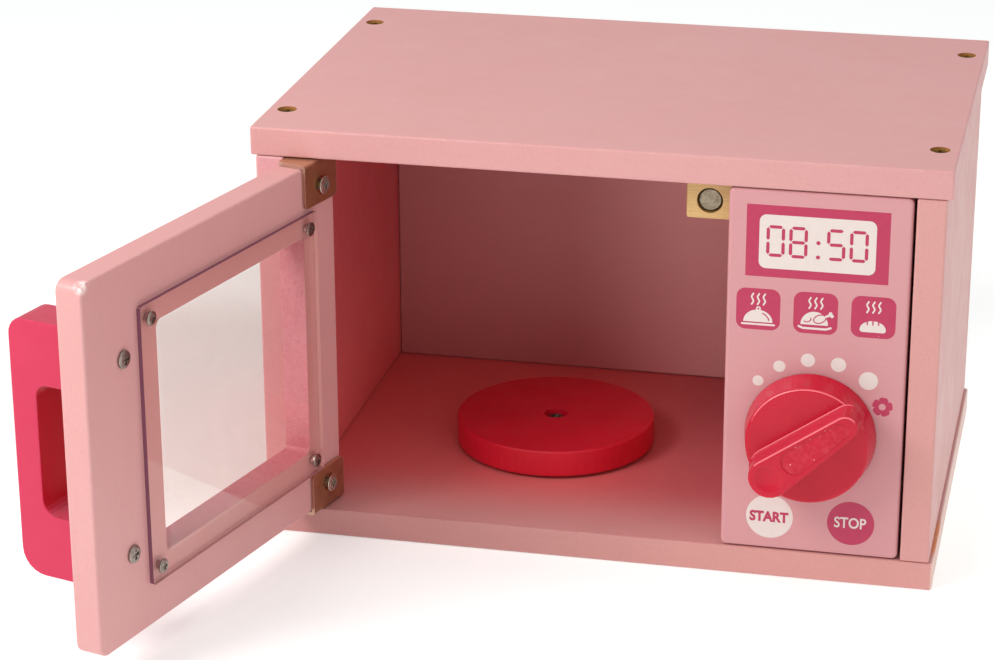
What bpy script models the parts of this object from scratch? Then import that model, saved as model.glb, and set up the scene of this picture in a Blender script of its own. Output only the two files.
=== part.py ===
"""A wooden toy microwave oven with its door standing open, as separate pieces at their real size.

Metres, +Z up, +X to the right and the front towards -Y. The origin is the centre of the bottom face.
The door's pieces are modelled closed, about the hinge axis, and one empty swings them open. The
turntable and the knob each hang on an empty on their own axis.
"""
import math
from collections import namedtuple

import bmesh
import bpy
from mathutils import Matrix, Vector

MM = 0.001

# Gaps and cuts
SEAM = 0.2 * MM            # boards and fittings that are held face to face
FIT_GAP = 0.3 * MM         # round a screw, pin or plug in its hole
RUNNING_GAP = 0.5 * MM     # between faces that turn past each other
CUT_OVERRUN = 1.0 * MM     # how far a cutter runs past the face that it opens

# Cabinet
CABINET_WIDTH = 290.0 * MM
CABINET_DEPTH = 198.0 * MM
CABINET_HEIGHT = 183.0 * MM
SHELF_BOARD = 12.2 * MM    # top and bottom boards
BOTTOM_SHORTER = 1.2 * MM  # the bottom board is this much shorter than the top one
SIDE_BOARD = 12.0 * MM
SIDE_INSET = 2.2 * MM      # side panels stand in from the top board's ends
BACK_BOARD = 12.0 * MM
BACK_INSET = 1.0 * MM
BOARD_EDGE_RADIUS = 0.8 * MM
CORNER_SCREW_INSET = 27.4 * MM  # from the front and back edges

# Control panel and the divider behind it
PANEL_WIDTH = 74.0 * MM
PANEL_THICKNESS = 12.0 * MM
PANEL_SIDE_GAP = 1.2 * MM  # shadow gap to the right side panel
PANEL_END_GAP = 0.5 * MM   # above and below
PANEL_SETBACK = 0.3 * MM
PANEL_CORNER_RADIUS = 2.4 * MM
PANEL_EDGE_RADIUS = 1.4 * MM
DIVIDER_BOARD = 12.0 * MM
DIVIDER_SETBACK = 0.2 * MM

# Magnetic catch
CATCH_WIDTH = 19.4 * MM
CATCH_HEIGHT = 19.0 * MM
CATCH_DEPTH = 20.0 * MM
CATCH_EDGE_RADIUS = 1.0 * MM
MAGNET_RADIUS = 4.4 * MM
MAGNET_LENGTH = 5.0 * MM
MAGNET_SINK = 1.2 * MM     # its face lies this far inside the hole
MAGNET_HOLE_GAP = 1.0 * MM
MAGNET_ABOVE_FOOT = 8.0 * MM
STRIKE_RADIUS = 3.9 * MM
STRIKE_THICKNESS = 2.0 * MM

# Door
DOOR_HINGE_GAP = 3.0 * MM
DOOR_FREE_GAP = 3.2 * MM
DOOR_END_GAP = 2.1 * MM    # above and below, room for the hinge flanges
DOOR_THICKNESS = 12.0 * MM
DOOR_SETBACK = 1.5 * MM    # the closed door's face behind the cabinet's front
DOOR_CORNER_RADIUS = 5.0 * MM
DOOR_EDGE_RADIUS = 1.0 * MM
DOOR_STOP_GAP = 0.37 * MM  # between the open door's outer face and the side panel's corner
PIVOT_FROM_EDGE = 7.6 * MM
PIVOT_FROM_INNER_FACE = 4.5 * MM

# Window and pane: the door's widths round the window, and the pane's laps on them
HINGE_STILE = 24.6 * MM
FREE_STILE = 46.9 * MM
TOP_RAIL = 29.6 * MM
FOOT_RAIL = 27.6 * MM
WINDOW_CORNER_RADIUS = 3.0 * MM
PANE_HINGE_LAP = 7.8 * MM
PANE_FREE_LAP = 12.8 * MM
PANE_END_LAP = 9.9 * MM
PANE_THICKNESS = 1.8 * MM
PANE_CORNER_RADIUS = 1.6 * MM
PANE_SCREW_INSET = 6.3 * MM

# Handle: a board square to the door, with a slot for the fingers
HANDLE_FROM_FREE_EDGE = 24.1 * MM
HANDLE_DROP = 0.6 * MM             # below the window's middle
HANDLE_THICKNESS = 18.0 * MM
HANDLE_HEIGHT = 107.8 * MM
HANDLE_REACH = 34.7 * MM
HANDLE_GRIP = 11.7 * MM
HANDLE_TOP_RADIUS = 7.0 * MM
HANDLE_FOOT_RADIUS = 10.5 * MM
HANDLE_EDGE_RADIUS = 0.6 * MM
SLOT_HEIGHT = 55.0 * MM
SLOT_TOP_RADIUS = 5.0 * MM
SLOT_FOOT_RADIUS = 7.0 * MM
HANDLE_SCREW_FROM_TOP = 12.6 * MM
HANDLE_SCREW_FROM_FOOT = 13.8 * MM

# Hinge brackets: sheet metal bent over the door's top and bottom edges
BRACKET_WIDTH = 24.8 * MM
BRACKET_PLATE = 17.7 * MM
BRACKET_FLANGE = 11.8 * MM
BRACKET_SHEET = 1.4 * MM
BRACKET_BEND_RADIUS = 0.4 * MM     # inside the bend
BRACKET_PLATE_CORNER = 2.6 * MM
BRACKET_FLANGE_CORNER = 1.6 * MM
BRACKET_SCREW_FROM_END = 9.6 * MM  # from the door's top or bottom edge
BRACKET_SCREW_STANDOFF = 1.9 * MM  # its head is not driven home
BRACKET_DISH_RADIUS = 4.1 * MM     # the dished hole's rim
PIN_RADIUS = 2.0 * MM
PIN_IN_BOARD = 7.0 * MM
PIN_IN_DOOR = 5.0 * MM

# Turntable
TURNTABLE_RADIUS = 44.7 * MM
TURNTABLE_THICKNESS = 12.0 * MM
TURNTABLE_EDGE_RADIUS = 0.8 * MM
TURNTABLE_OFF_CENTRE = 3.0 * MM    # to the right of the cavity's middle
TURNTABLE_BEHIND_FRONT = 95.0 * MM
TURNTABLE_BORE_GAP = 1.4 * MM      # round the screw's head
TURNTABLE_BORE_DEPTH = 3.4 * MM
WASHER_RADIUS = 8.0 * MM
WASHER_THICKNESS = 1.0 * MM

# Knob: a skirted disc with a tapering grip bar across it
KNOB_OFF_CENTRE = 0.9 * MM         # to the left of the panel's middle
KNOB_ABOVE_FLOOR = 53.4 * MM
KNOB_SKIRT_RADIUS = 27.2 * MM
KNOB_FACE_RADIUS = 25.4 * MM
KNOB_DISC_HEIGHT = 12.0 * MM
KNOB_RIM_RADIUS = 1.4 * MM
KNOB_WALL = 2.2 * MM
KNOB_HUB_RADIUS = 6.0 * MM
KNOB_TURN = math.radians(39.5)
BAR_HEIGHT = 10.5 * MM             # above the disc's face
BAR_WIDE_RADIUS = 8.7 * MM
BAR_NARROW_RADIUS = 5.3 * MM
BAR_WIDE_X = -17.6 * MM            # the round ends' centres, from the axis
BAR_NARROW_X = 21.5 * MM
BAR_DRAFT = 0.5 * MM               # how much wider the bar is at the disc's face
BAR_FILLET = 0.8 * MM
BAR_EDGE_RADIUS = 0.8 * MM
BAR_INSET = 0.3 * MM               # the bar stays this far inside the skirt's radius
BAR_FOOT_INSET = 1.0 * MM          # and its foot, inside the disc, this far
RECESS_WIDE_X = -4.5 * MM          # the centres of the recess's round ends
RECESS_NARROW_X = 18.9 * MM
RECESS_WALL = 1.9 * MM             # from the bar's sides
RECESS_DEPTH = 0.4 * MM
DIMPLE_RADIUS = 6.0 * MM
DIMPLE_DEPTH = 1.3 * MM
KNOB_WASHER_RADIUS = 7.0 * MM

# Screws: a head's radius and height, the part of that height which is a dome (or the dome above a
# countersunk head), its shank's radius and length, and whether the head is countersunk
Screw = namedtuple("Screw", "head_radius head_height dome shank_radius length sunk")
CORNER_SCREW = Screw(3.7 * MM, 2.2 * MM, 0.0, 1.9 * MM, 32.0 * MM, True)
CORNER_SCREW_SINK = 1.0 * MM
CORNER_HOLE_GAP = 0.4 * MM         # round the sunk head
PANE_SCREW = Screw(3.0 * MM, 1.1 * MM, 0.5 * MM, 1.3 * MM, 9.5 * MM, False)
HANDLE_SCREW = Screw(3.7 * MM, 1.3 * MM, 0.6 * MM, 1.7 * MM, 28.0 * MM, False)
BRACKET_SCREW = Screw(3.8 * MM, 2.0 * MM, 0.6 * MM, 1.9 * MM, 12.0 * MM, True)
TURNTABLE_SCREW = Screw(4.0 * MM, 2.2 * MM, 1.2 * MM, 2.0 * MM, 17.0 * MM, False)
KNOB_SCREW = Screw(3.6 * MM, 2.2 * MM, 1.2 * MM, 1.8 * MM, 21.0 * MM, False)
TIP_SHARE = 1.6            # a screw point's length over its shank's radius
CROSS_ARM_SHARE = 0.6      # the cross recess, as shares of the head
CROSS_WIDTH_SHARE = 0.2
CROSS_DEPTH_SHARE = 0.62

# Smoothness of round shapes
CORNER_STEPS = 6
SMALL_ROUND_STEPS = 16
MAGNET_STEPS = 32
LARGE_ROUND_STEPS = 64
KNOB_STEPS = 64
BAR_END_STEPS = 12
BEND_STEPS = 5

# Places that follow from the sizes above
FRONT = -CABINET_DEPTH / 2
BACK = CABINET_DEPTH / 2
FLOOR = SHELF_BOARD
CEILING = CABINET_HEIGHT - SHELF_BOARD
SIDE_OUTER = CABINET_WIDTH / 2 - SIDE_INSET
SIDE_INNER = SIDE_OUTER - SIDE_BOARD
REAR_WALL = BACK - BACK_INSET - BACK_BOARD
PANEL_RIGHT = SIDE_INNER - PANEL_SIDE_GAP
PANEL_LEFT = PANEL_RIGHT - PANEL_WIDTH
PANEL_FACE = FRONT + PANEL_SETBACK
PANEL_BACK = PANEL_FACE + PANEL_THICKNESS
DIVIDER_FACE = PANEL_LEFT + DIVIDER_SETBACK
KNOB_X = (PANEL_LEFT + PANEL_RIGHT) / 2 - KNOB_OFF_CENTRE
KNOB_Z = FLOOR + KNOB_ABOVE_FLOOR
TURNTABLE_X = (DIVIDER_FACE - SIDE_INNER) / 2 + TURNTABLE_OFF_CENTRE
TURNTABLE_Y = FRONT + TURNTABLE_BEHIND_FRONT
WASHER_FOOT = FLOOR + SEAM
TURNTABLE_FOOT = WASHER_FOOT + WASHER_THICKNESS + SEAM
TURNTABLE_SEAT = TURNTABLE_FOOT + TURNTABLE_THICKNESS - TURNTABLE_BORE_DEPTH

# The hinge axis, and places on the closed door measured from it
HINGE_X = -SIDE_INNER + DOOR_HINGE_GAP + PIVOT_FROM_EDGE
HINGE_Y = FRONT + DOOR_SETBACK + DOOR_THICKNESS - PIVOT_FROM_INNER_FACE
INNER_FACE = PIVOT_FROM_INNER_FACE
OUTER_FACE = INNER_FACE - DOOR_THICKNESS
DOOR_WIDTH = PANEL_LEFT + SIDE_INNER - DOOR_HINGE_GAP - DOOR_FREE_GAP
DOOR_FOOT = FLOOR + DOOR_END_GAP
DOOR_TOP = CEILING - DOOR_END_GAP
DOOR_HEIGHT = DOOR_TOP - DOOR_FOOT
HINGE_EDGE = -PIVOT_FROM_EDGE
FREE_EDGE = DOOR_WIDTH - PIVOT_FROM_EDGE
WINDOW_WIDTH = DOOR_WIDTH - HINGE_STILE - FREE_STILE
WINDOW_HEIGHT = DOOR_HEIGHT - TOP_RAIL - FOOT_RAIL
WINDOW_X = HINGE_EDGE + HINGE_STILE + WINDOW_WIDTH / 2
WINDOW_Z = DOOR_FOOT + FOOT_RAIL + WINDOW_HEIGHT / 2
PANE_WIDTH = WINDOW_WIDTH + PANE_HINGE_LAP + PANE_FREE_LAP
PANE_HEIGHT = WINDOW_HEIGHT + 2 * PANE_END_LAP
PANE_X = WINDOW_X + (PANE_FREE_LAP - PANE_HINGE_LAP) / 2
HANDLE_X = FREE_EDGE - HANDLE_FROM_FREE_EDGE
BRACKET_X = HINGE_EDGE + BRACKET_WIDTH / 2
CATCH_FACE = HINGE_Y + INNER_FACE + FIT_GAP
CATCH_X = DIVIDER_FACE - SEAM - CATCH_WIDTH / 2
CATCH_FOOT = CEILING - SEAM - CATCH_HEIGHT
MAGNET_Z = CATCH_FOOT + MAGNET_ABOVE_FOOT
# The open door's outer face stops just short of the side panel's front corner
CORNER_REACH = math.hypot(DOOR_HINGE_GAP + PIVOT_FROM_EDGE, HINGE_Y - FRONT)
CORNER_ANGLE = math.atan2(HINGE_Y - FRONT, DOOR_HINGE_GAP + PIVOT_FROM_EDGE)
STOP_ANGLE = math.asin(min(1.0, (DOOR_STOP_GAP - OUTER_FACE) / CORNER_REACH))
DOOR_OPEN_ANGLE = math.pi - CORNER_ANGLE - STOP_ANGLE

# Turns that point a piece's own Z axis another way
FACING_FRONT = (math.pi / 2, 0, 0)
FACING_BACK = (-math.pi / 2, 0, 0)
FACING_DOWN = (math.pi, 0, 0)
FACING_UP = (0, 0, 0)


def clear_scene():
    for thing in list(bpy.data.objects):
        bpy.data.objects.remove(thing)


def new_collection(name):
    made = bpy.data.collections.new(name)
    bpy.context.scene.collection.children.link(made)
    return made


def new_material(name, colour, roughness, metallic=0.0, alpha=1.0):
    made = bpy.data.materials.new(name)
    made.use_nodes = True
    shader = made.node_tree.nodes["Principled BSDF"]
    shader.inputs["Base Color"].default_value = (*colour, 1.0)
    shader.inputs["Roughness"].default_value = roughness
    shader.inputs["Metallic"].default_value = metallic
    shader.inputs["Alpha"].default_value = alpha
    return made


clear_scene()
PARTS = new_collection("toy_microwave")
CUTTERS = new_collection("cutters")
PINK_PAINT = new_material("pink_paint", (0.72, 0.38, 0.37), 0.45)
ROSE_PAINT = new_material("rose_paint", (0.72, 0.08, 0.16), 0.4)
BARE_WOOD = new_material("bare_wood", (0.66, 0.45, 0.2), 0.6)
ACRYLIC = new_material("clear_acrylic", (0.95, 0.93, 0.95), 0.05, alpha=0.3)
ROSE_PLASTIC = new_material("rose_plastic", (0.66, 0.03, 0.09), 0.3)
STEEL = new_material("steel", (0.62, 0.6, 0.57), 0.3, metallic=1.0)
BRASSED_STEEL = new_material("brassed_steel", (0.5, 0.38, 0.16), 0.4, metallic=1.0)
BRONZED_STEEL = new_material("bronzed_steel", (0.36, 0.2, 0.14), 0.25, metallic=1.0)
MAGNET = new_material("magnet", (0.45, 0.43, 0.4), 0.5, metallic=1.0)


def add_object(name, mesh, material=None, parent=None):
    """Links a mesh as an object, shaded smooth except over its sharp edges."""
    thing = bpy.data.objects.new(name, mesh)
    PARTS.objects.link(thing)
    if material and not mesh.materials:
        mesh.materials.append(material)
    mesh.shade_smooth()
    mesh.set_sharp_from_angle(angle=math.radians(35))
    thing.parent = parent
    return thing


def add_empty(name, location, turn=(0, 0, 0)):
    thing = bpy.data.objects.new(name, None)
    PARTS.objects.link(thing)
    thing.location = location
    thing.rotation_euler = turn
    return thing


def bevel(thing, width, segments=2, angle=math.radians(40)):
    rounding = thing.modifiers.new("rounded_edges", "BEVEL")
    rounding.width = width
    rounding.segments = segments
    rounding.limit_method = "ANGLE"
    rounding.angle_limit = angle


def even_shading():
    """Keeps the wide faces of pieces with rounded edges flat to the eye."""
    for thing in PARTS.objects:
        if thing.type == "MESH" and thing.modifiers.get("rounded_edges"):
            thing.modifiers.new("even_shading", "WEIGHTED_NORMAL")


def box(name, x_range, y_range, z_range, material=None, parent=None):
    """A box between two places on each axis, with its origin at its centre."""
    lows, highs = zip(x_range, y_range, z_range)
    shape = bmesh.new()
    bmesh.ops.create_cube(shape, size=1.0)
    sides = [high - low for low, high in zip(lows, highs)]
    bmesh.ops.scale(shape, vec=sides, verts=shape.verts)
    mesh = bpy.data.meshes.new(name)
    shape.to_mesh(mesh)
    shape.free()
    thing = add_object(name, mesh, material, parent)
    thing.location = [(low + high) / 2 for low, high in zip(lows, highs)]
    return thing


def corner_arc(centre, radius, start, sweep=math.pi / 2, steps=CORNER_STEPS):
    """Points of an arc, from the angle start through sweep."""
    angles = [start + sweep * step / steps for step in range(steps + 1)]
    return [(centre[0] + radius * math.cos(a), centre[1] + radius * math.sin(a)) for a in angles]


def rounded_rectangle(width, height, radius):
    """A rectangle's outline about the origin, anticlockwise, with round corners."""
    across, up = width / 2 - radius, height / 2 - radius
    corners = ((across, up), (-across, up), (-across, -up), (across, -up))
    points = []
    for quarter, corner in enumerate(corners):
        points += corner_arc(corner, radius, quarter * math.pi / 2)
    return points


def plate_mesh(name, outline, thickness):
    """A flat outline, centred on its own plane, with its rims welded."""
    curve = bpy.data.curves.new(name, "CURVE")
    curve.dimensions = "2D"
    curve.fill_mode = "BOTH"
    curve.extrude = thickness / 2
    spline = curve.splines.new("POLY")
    spline.points.add(len(outline) - 1)
    for point, (x, y) in zip(spline.points, outline):
        point.co = (x, y, 0, 1)
    spline.use_cyclic_u = True
    drawn = bpy.data.objects.new(name, curve)
    PARTS.objects.link(drawn)
    seen = drawn.evaluated_get(bpy.context.evaluated_depsgraph_get())
    mesh = bpy.data.meshes.new_from_object(seen)
    bpy.data.objects.remove(drawn)
    shape = bmesh.new()
    shape.from_mesh(mesh)
    bmesh.ops.remove_doubles(shape, verts=shape.verts, dist=0.001 * MM)
    bmesh.ops.dissolve_limit(shape, angle_limit=math.radians(0.1), verts=shape.verts, edges=shape.edges)
    shape.to_mesh(mesh)
    shape.free()
    return mesh


def plate(name, outline, thickness, material=None, parent=None):
    return add_object(name, plate_mesh(name, outline, thickness), material, parent)


def turned(name, profile, material=None, parent=None, steps=SMALL_ROUND_STEPS):
    """A profile of (radius, height) points, from the top down, turned about Z."""
    mesh = bpy.data.meshes.new(name)
    edges = [(i, i + 1) for i in range(len(profile) - 1)]
    mesh.from_pydata([(radius, 0, height) for radius, height in profile], edges, [])
    thing = bpy.data.objects.new(name, mesh)
    PARTS.objects.link(thing)
    thing.parent = parent
    if material:
        mesh.materials.append(material)
    lathe = thing.modifiers.new("lathe", "SCREW")
    lathe.steps = steps
    lathe.render_steps = steps
    lathe.use_smooth_shade = True
    lathe.use_merge_vertices = True
    lathe.merge_threshold = 0.01 * MM
    return thing


def turned_ring(name, profile, material=None, parent=None, steps=SMALL_ROUND_STEPS):
    """As turned, for a profile that closes on itself round a bore."""
    return turned(name, profile + profile[:1], material, parent, steps)


def baked(thing):
    """The object's evaluated mesh by itself, for objects that share it; the object is removed."""
    seen = thing.evaluated_get(bpy.context.evaluated_depsgraph_get())
    mesh = bpy.data.meshes.new_from_object(seen)
    mesh.name = thing.name
    bpy.data.objects.remove(thing)
    return mesh


def as_cutter(thing):
    """Moves an object to the cutters, which are not pieces of the toy."""
    PARTS.objects.unlink(thing)
    CUTTERS.objects.link(thing)
    thing.hide_render = True
    thing.display_type = "WIRE"
    return thing


def join_shape(target, tool, operation="DIFFERENCE"):
    boolean = target.modifiers.new(tool.name, "BOOLEAN")
    boolean.operation = operation
    boolean.solver = "EXACT"
    boolean.object = tool


def cylinder(name, radius, top, foot, material=None, parent=None, steps=SMALL_ROUND_STEPS):
    """A cylinder along its own Z, from a top to a foot."""
    shape = bmesh.new()
    bmesh.ops.create_cone(shape, cap_ends=True, segments=steps, radius1=radius, radius2=radius,
                          depth=top - foot)
    bmesh.ops.translate(shape, vec=(0, 0, (top + foot) / 2), verts=shape.verts)
    mesh = bpy.data.meshes.new(name)
    shape.to_mesh(mesh)
    shape.free()
    return add_object(name, mesh, material, parent)


def bore(name, radius, top, foot, targets, location, turn=FACING_UP, parent=None, steps=SMALL_ROUND_STEPS):
    """Cuts a round hole, along its own Z from top to foot, in each target."""
    tool = as_cutter(cylinder(name, radius, top, foot, parent=parent, steps=steps))
    tool.location = location
    tool.rotation_euler = turn
    for target in targets:
        join_shape(target, tool)


def screw_profile(size):
    """A screw with its head's seat at height 0, or its rim there if it is countersunk."""
    tip = size.shank_radius * TIP_SHARE
    rim = 0 if size.sunk else size.head_height - size.dome
    angles = (0.0, 0.25 * math.pi, 0.42 * math.pi) if size.dome else (0.0,)
    head = [(size.head_radius * math.sin(a), rim + size.dome * math.cos(a)) for a in angles]
    if size.sunk:
        head += [(size.head_radius, 0), (size.shank_radius, -size.head_height)]
    else:
        head += [(size.head_radius, rim), (size.head_radius, 0), (size.shank_radius, 0)]
    return head + [(size.shank_radius, tip - size.length), (0, -size.length)]


def screw_hole_profile(size, above):
    """The room that a screw needs, up to a height above its seat."""
    radius = size.shank_radius + FIT_GAP
    foot = -size.length - FIT_GAP
    if not size.sunk:
        return [(0, above), (radius, above), (radius, foot), (0, foot)]
    top = size.head_radius + FIT_GAP
    mouth = size.head_radius + CORNER_HOLE_GAP
    return [(0, above), (mouth, above), (mouth, 0), (top, 0),
            (radius, -size.head_height), (radius, foot), (0, foot)]


def screw_mesh(name, size):
    """The screw's mesh, with a cross recess in its head."""
    blank = turned(name, screw_profile(size), steps=SMALL_ROUND_STEPS)
    arm = size.head_radius * CROSS_ARM_SHARE
    half_width = size.head_radius * CROSS_WIDTH_SHARE
    top = size.dome if size.sunk else size.head_height
    floor = top - size.head_height * CROSS_DEPTH_SHARE
    outline = [(arm, half_width), (half_width, half_width), (half_width, arm)]
    cross = []
    for quarter in range(4):
        turn = Matrix.Rotation(quarter * math.pi / 2, 2)
        cross += [tuple(turn @ Vector(point)) for point in outline]
    height = top - floor + CUT_OVERRUN
    tool = as_cutter(plate(name + "_cross", cross, height))
    tool.location.z = floor + height / 2
    join_shape(blank, tool)
    mesh = baked(blank)
    bpy.data.objects.remove(tool)
    return mesh


def put_screw(name, size, mesh, material, location, turn, targets, above, parent=None):
    """Sets a screw in place and cuts its hole in each piece that it passes through."""
    thing = add_object(name, mesh, material, parent)
    thing.location = location
    thing.rotation_euler = turn
    hole = as_cutter(turned(name + "_hole", screw_hole_profile(size, above), parent=parent))
    hole.location = location
    hole.rotation_euler = turn
    for target in targets:
        join_shape(target, hole)
    return thing


def build_boards():
    """The boards of the cabinet."""
    half = CABINET_WIDTH / 2
    short = half - BOTTOM_SHORTER / 2
    depth = (FRONT, BACK)
    between = (FLOOR + SEAM, CEILING - SEAM)
    top = box("top_board", (-half, half), depth, (CEILING, CABINET_HEIGHT), PINK_PAINT)
    bottom = box("bottom_board", (-short, short), depth, (0, FLOOR), PINK_PAINT)
    left = box("side_panel_left", (-SIDE_OUTER, -SIDE_INNER), depth, between, PINK_PAINT)
    right = box("side_panel_right", (SIDE_INNER, SIDE_OUTER), depth, between, PINK_PAINT)
    inside = SIDE_INNER - SEAM
    rear = box("back_panel", (-inside, inside), (REAR_WALL, REAR_WALL + BACK_BOARD), between, PINK_PAINT)
    divider = box("divider_panel", (DIVIDER_FACE, DIVIDER_FACE + DIVIDER_BOARD),
                  (PANEL_BACK + SEAM, REAR_WALL - SEAM), between, PINK_PAINT)
    for board in (top, bottom, left, right, rear, divider):
        bevel(board, BOARD_EDGE_RADIUS)
    return top, bottom, left, right


def build_corner_screws(top, bottom, left, right):
    """Countersunk screws through the top and bottom boards into the side panels."""
    mesh = screw_mesh("corner_screw", CORNER_SCREW)
    across = (SIDE_INNER + SIDE_OUTER) / 2
    along = CABINET_DEPTH / 2 - CORNER_SCREW_INSET
    above = CORNER_SCREW_SINK + CUT_OVERRUN
    for side_name, x, side in (("left", -across, left), ("right", across, right)):
        for end_name, y in (("front", -along), ("rear", along)):
            put_screw(f"top_screw_{side_name}_{end_name}", CORNER_SCREW, mesh, BRASSED_STEEL,
                      (x, y, CABINET_HEIGHT - CORNER_SCREW_SINK), FACING_UP, (top, side), above)
            put_screw(f"bottom_screw_{side_name}_{end_name}", CORNER_SCREW, mesh, BRASSED_STEEL,
                      (x, y, CORNER_SCREW_SINK), FACING_DOWN, (bottom, side), above)


def build_control_panel():
    """The board that carries the printed controls and the knob."""
    height = CEILING - FLOOR - 2 * PANEL_END_GAP
    outline = rounded_rectangle(PANEL_WIDTH, height, PANEL_CORNER_RADIUS)
    panel = plate("control_panel", outline, PANEL_THICKNESS, PINK_PAINT)
    panel.location = ((PANEL_LEFT + PANEL_RIGHT) / 2, (PANEL_FACE + PANEL_BACK) / 2, (FLOOR + CEILING) / 2)
    panel.rotation_euler = FACING_FRONT
    bevel(panel, PANEL_EDGE_RADIUS, 3)
    return panel


def build_catch():
    """The block under the top board and the magnet in it."""
    block = box("catch_block", (CATCH_X - CATCH_WIDTH / 2, CATCH_X + CATCH_WIDTH / 2),
                (CATCH_FACE, CATCH_FACE + CATCH_DEPTH), (CATCH_FOOT, CATCH_FOOT + CATCH_HEIGHT), BARE_WOOD)
    bevel(block, CATCH_EDGE_RADIUS)
    magnet_foot = -MAGNET_SINK - MAGNET_LENGTH
    place = (CATCH_X, CATCH_FACE, MAGNET_Z)
    bore("magnet_hole", MAGNET_RADIUS + MAGNET_HOLE_GAP, CUT_OVERRUN, magnet_foot - SEAM, (block,), place,
         FACING_FRONT, steps=MAGNET_STEPS)
    magnet = cylinder("catch_magnet", MAGNET_RADIUS, -MAGNET_SINK, magnet_foot, MAGNET, steps=MAGNET_STEPS)
    magnet.location = place
    magnet.rotation_euler = FACING_FRONT


def build_door_frame(hinge):
    """The door's board with its window, closed, about the hinge axis."""
    frame = plate("door_frame", rounded_rectangle(DOOR_WIDTH, DOOR_HEIGHT, DOOR_CORNER_RADIUS),
                  DOOR_THICKNESS, PINK_PAINT, hinge)
    depth = (INNER_FACE + OUTER_FACE) / 2
    frame.location = (DOOR_WIDTH / 2 - PIVOT_FROM_EDGE, depth, (DOOR_FOOT + DOOR_TOP) / 2)
    frame.rotation_euler = FACING_FRONT
    bevel(frame, DOOR_EDGE_RADIUS, 3)
    outline = rounded_rectangle(WINDOW_WIDTH, WINDOW_HEIGHT, WINDOW_CORNER_RADIUS)
    window = as_cutter(plate("window_opening", outline, DOOR_THICKNESS + 2 * CUT_OVERRUN, parent=hinge))
    window.location = (WINDOW_X, depth, WINDOW_Z)
    window.rotation_euler = FACING_FRONT
    join_shape(frame, window)
    return frame


def build_pane(hinge, frame):
    """The clear pane over the window's inner side, with its four screws."""
    pane = plate("window_pane", rounded_rectangle(PANE_WIDTH, PANE_HEIGHT, PANE_CORNER_RADIUS),
                 PANE_THICKNESS, ACRYLIC, hinge)
    pane.location = (PANE_X, INNER_FACE + SEAM + PANE_THICKNESS / 2, WINDOW_Z)
    pane.rotation_euler = FACING_FRONT
    mesh = screw_mesh("pane_screw", PANE_SCREW)
    across = PANE_WIDTH / 2 - PANE_SCREW_INSET
    up = PANE_HEIGHT / 2 - PANE_SCREW_INSET
    seat = INNER_FACE + SEAM + PANE_THICKNESS + SEAM
    for row, z in (("top", up), ("bottom", -up)):
        for side, x in (("hinge_side", -across), ("free_side", across)):
            put_screw(f"pane_screw_{row}_{side}", PANE_SCREW, mesh, STEEL,
                      (PANE_X + x, seat, WINDOW_Z + z), FACING_BACK, (pane, frame), CUT_OVERRUN, hinge)


def handle_outline():
    """The handle seen from its side: its reach from the door's face, and its height about its middle."""
    top = HANDLE_HEIGHT / 2
    slot = SLOT_HEIGHT / 2
    reach = HANDLE_REACH
    throat = HANDLE_REACH - HANDLE_GRIP
    quarter = math.pi / 2
    points = [(SEAM, -top)]
    radius = HANDLE_FOOT_RADIUS
    points += corner_arc((reach - radius, radius - top), radius, -quarter)
    radius = HANDLE_TOP_RADIUS
    points += corner_arc((reach - radius, top - radius), radius, 0)
    points += [(SEAM, top), (SEAM, slot)]
    radius = SLOT_TOP_RADIUS
    points += corner_arc((throat - radius, slot - radius), radius, quarter, -quarter)
    radius = SLOT_FOOT_RADIUS
    points += corner_arc((throat - radius, radius - slot), radius, 0, -quarter)
    return points + [(SEAM, -slot)]


def build_handle(hinge, frame):
    """The handle on the door's outer face, held by two screws from inside."""
    handle = plate("door_handle", handle_outline(), HANDLE_THICKNESS, ROSE_PAINT, hinge)
    middle = WINDOW_Z - HANDLE_DROP
    handle.location = (HANDLE_X, OUTER_FACE, middle)
    handle.rotation_euler = (math.pi / 2, 0, -math.pi / 2)
    bevel(handle, HANDLE_EDGE_RADIUS)
    mesh = screw_mesh("handle_screw", HANDLE_SCREW)
    upper = HANDLE_HEIGHT / 2 - HANDLE_SCREW_FROM_TOP
    lower = HANDLE_SCREW_FROM_FOOT - HANDLE_HEIGHT / 2
    for row, z in (("top", upper), ("bottom", lower)):
        place = (HANDLE_X, INNER_FACE + SEAM, middle + z)
        put_screw(f"handle_screw_{row}", HANDLE_SCREW, mesh, STEEL, place, FACING_BACK, (frame, handle),
                  CUT_OVERRUN, hinge)


def bracket_rows():
    """The bent sheet's inner surface, as rows of (half width, out from the door's face, up its edge).

    The blank runs from the plate's free end, round the bend and along the flange to its free end.
    """
    half = BRACKET_WIDTH / 2
    plate_length = BRACKET_PLATE - BRACKET_BEND_RADIUS
    flange_length = BRACKET_FLANGE - BRACKET_BEND_RADIUS
    rows = []
    for step in range(CORNER_STEPS + 1):
        angle = math.pi / 2 * step / CORNER_STEPS
        narrow = half - BRACKET_PLATE_CORNER * (1 - math.sin(angle))
        rows.append((narrow, 0, -plate_length + BRACKET_PLATE_CORNER * (1 - math.cos(angle))))
    for step in range(1, BEND_STEPS):
        angle = math.pi / 2 * step / BEND_STEPS
        out = BRACKET_BEND_RADIUS * (1 - math.cos(angle))
        rows.append((half, out, BRACKET_BEND_RADIUS * math.sin(angle)))
    rows.insert(CORNER_STEPS + 1, (half, 0, 0))
    rows.append((half, BRACKET_BEND_RADIUS, BRACKET_BEND_RADIUS))
    for step in range(CORNER_STEPS + 1):
        angle = math.pi / 2 * step / CORNER_STEPS
        narrow = half - BRACKET_FLANGE_CORNER * (1 - math.cos(angle))
        end = BRACKET_BEND_RADIUS + flange_length - BRACKET_FLANGE_CORNER * (1 - math.sin(angle))
        rows.append((narrow, end, BRACKET_BEND_RADIUS))
    return rows


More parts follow.
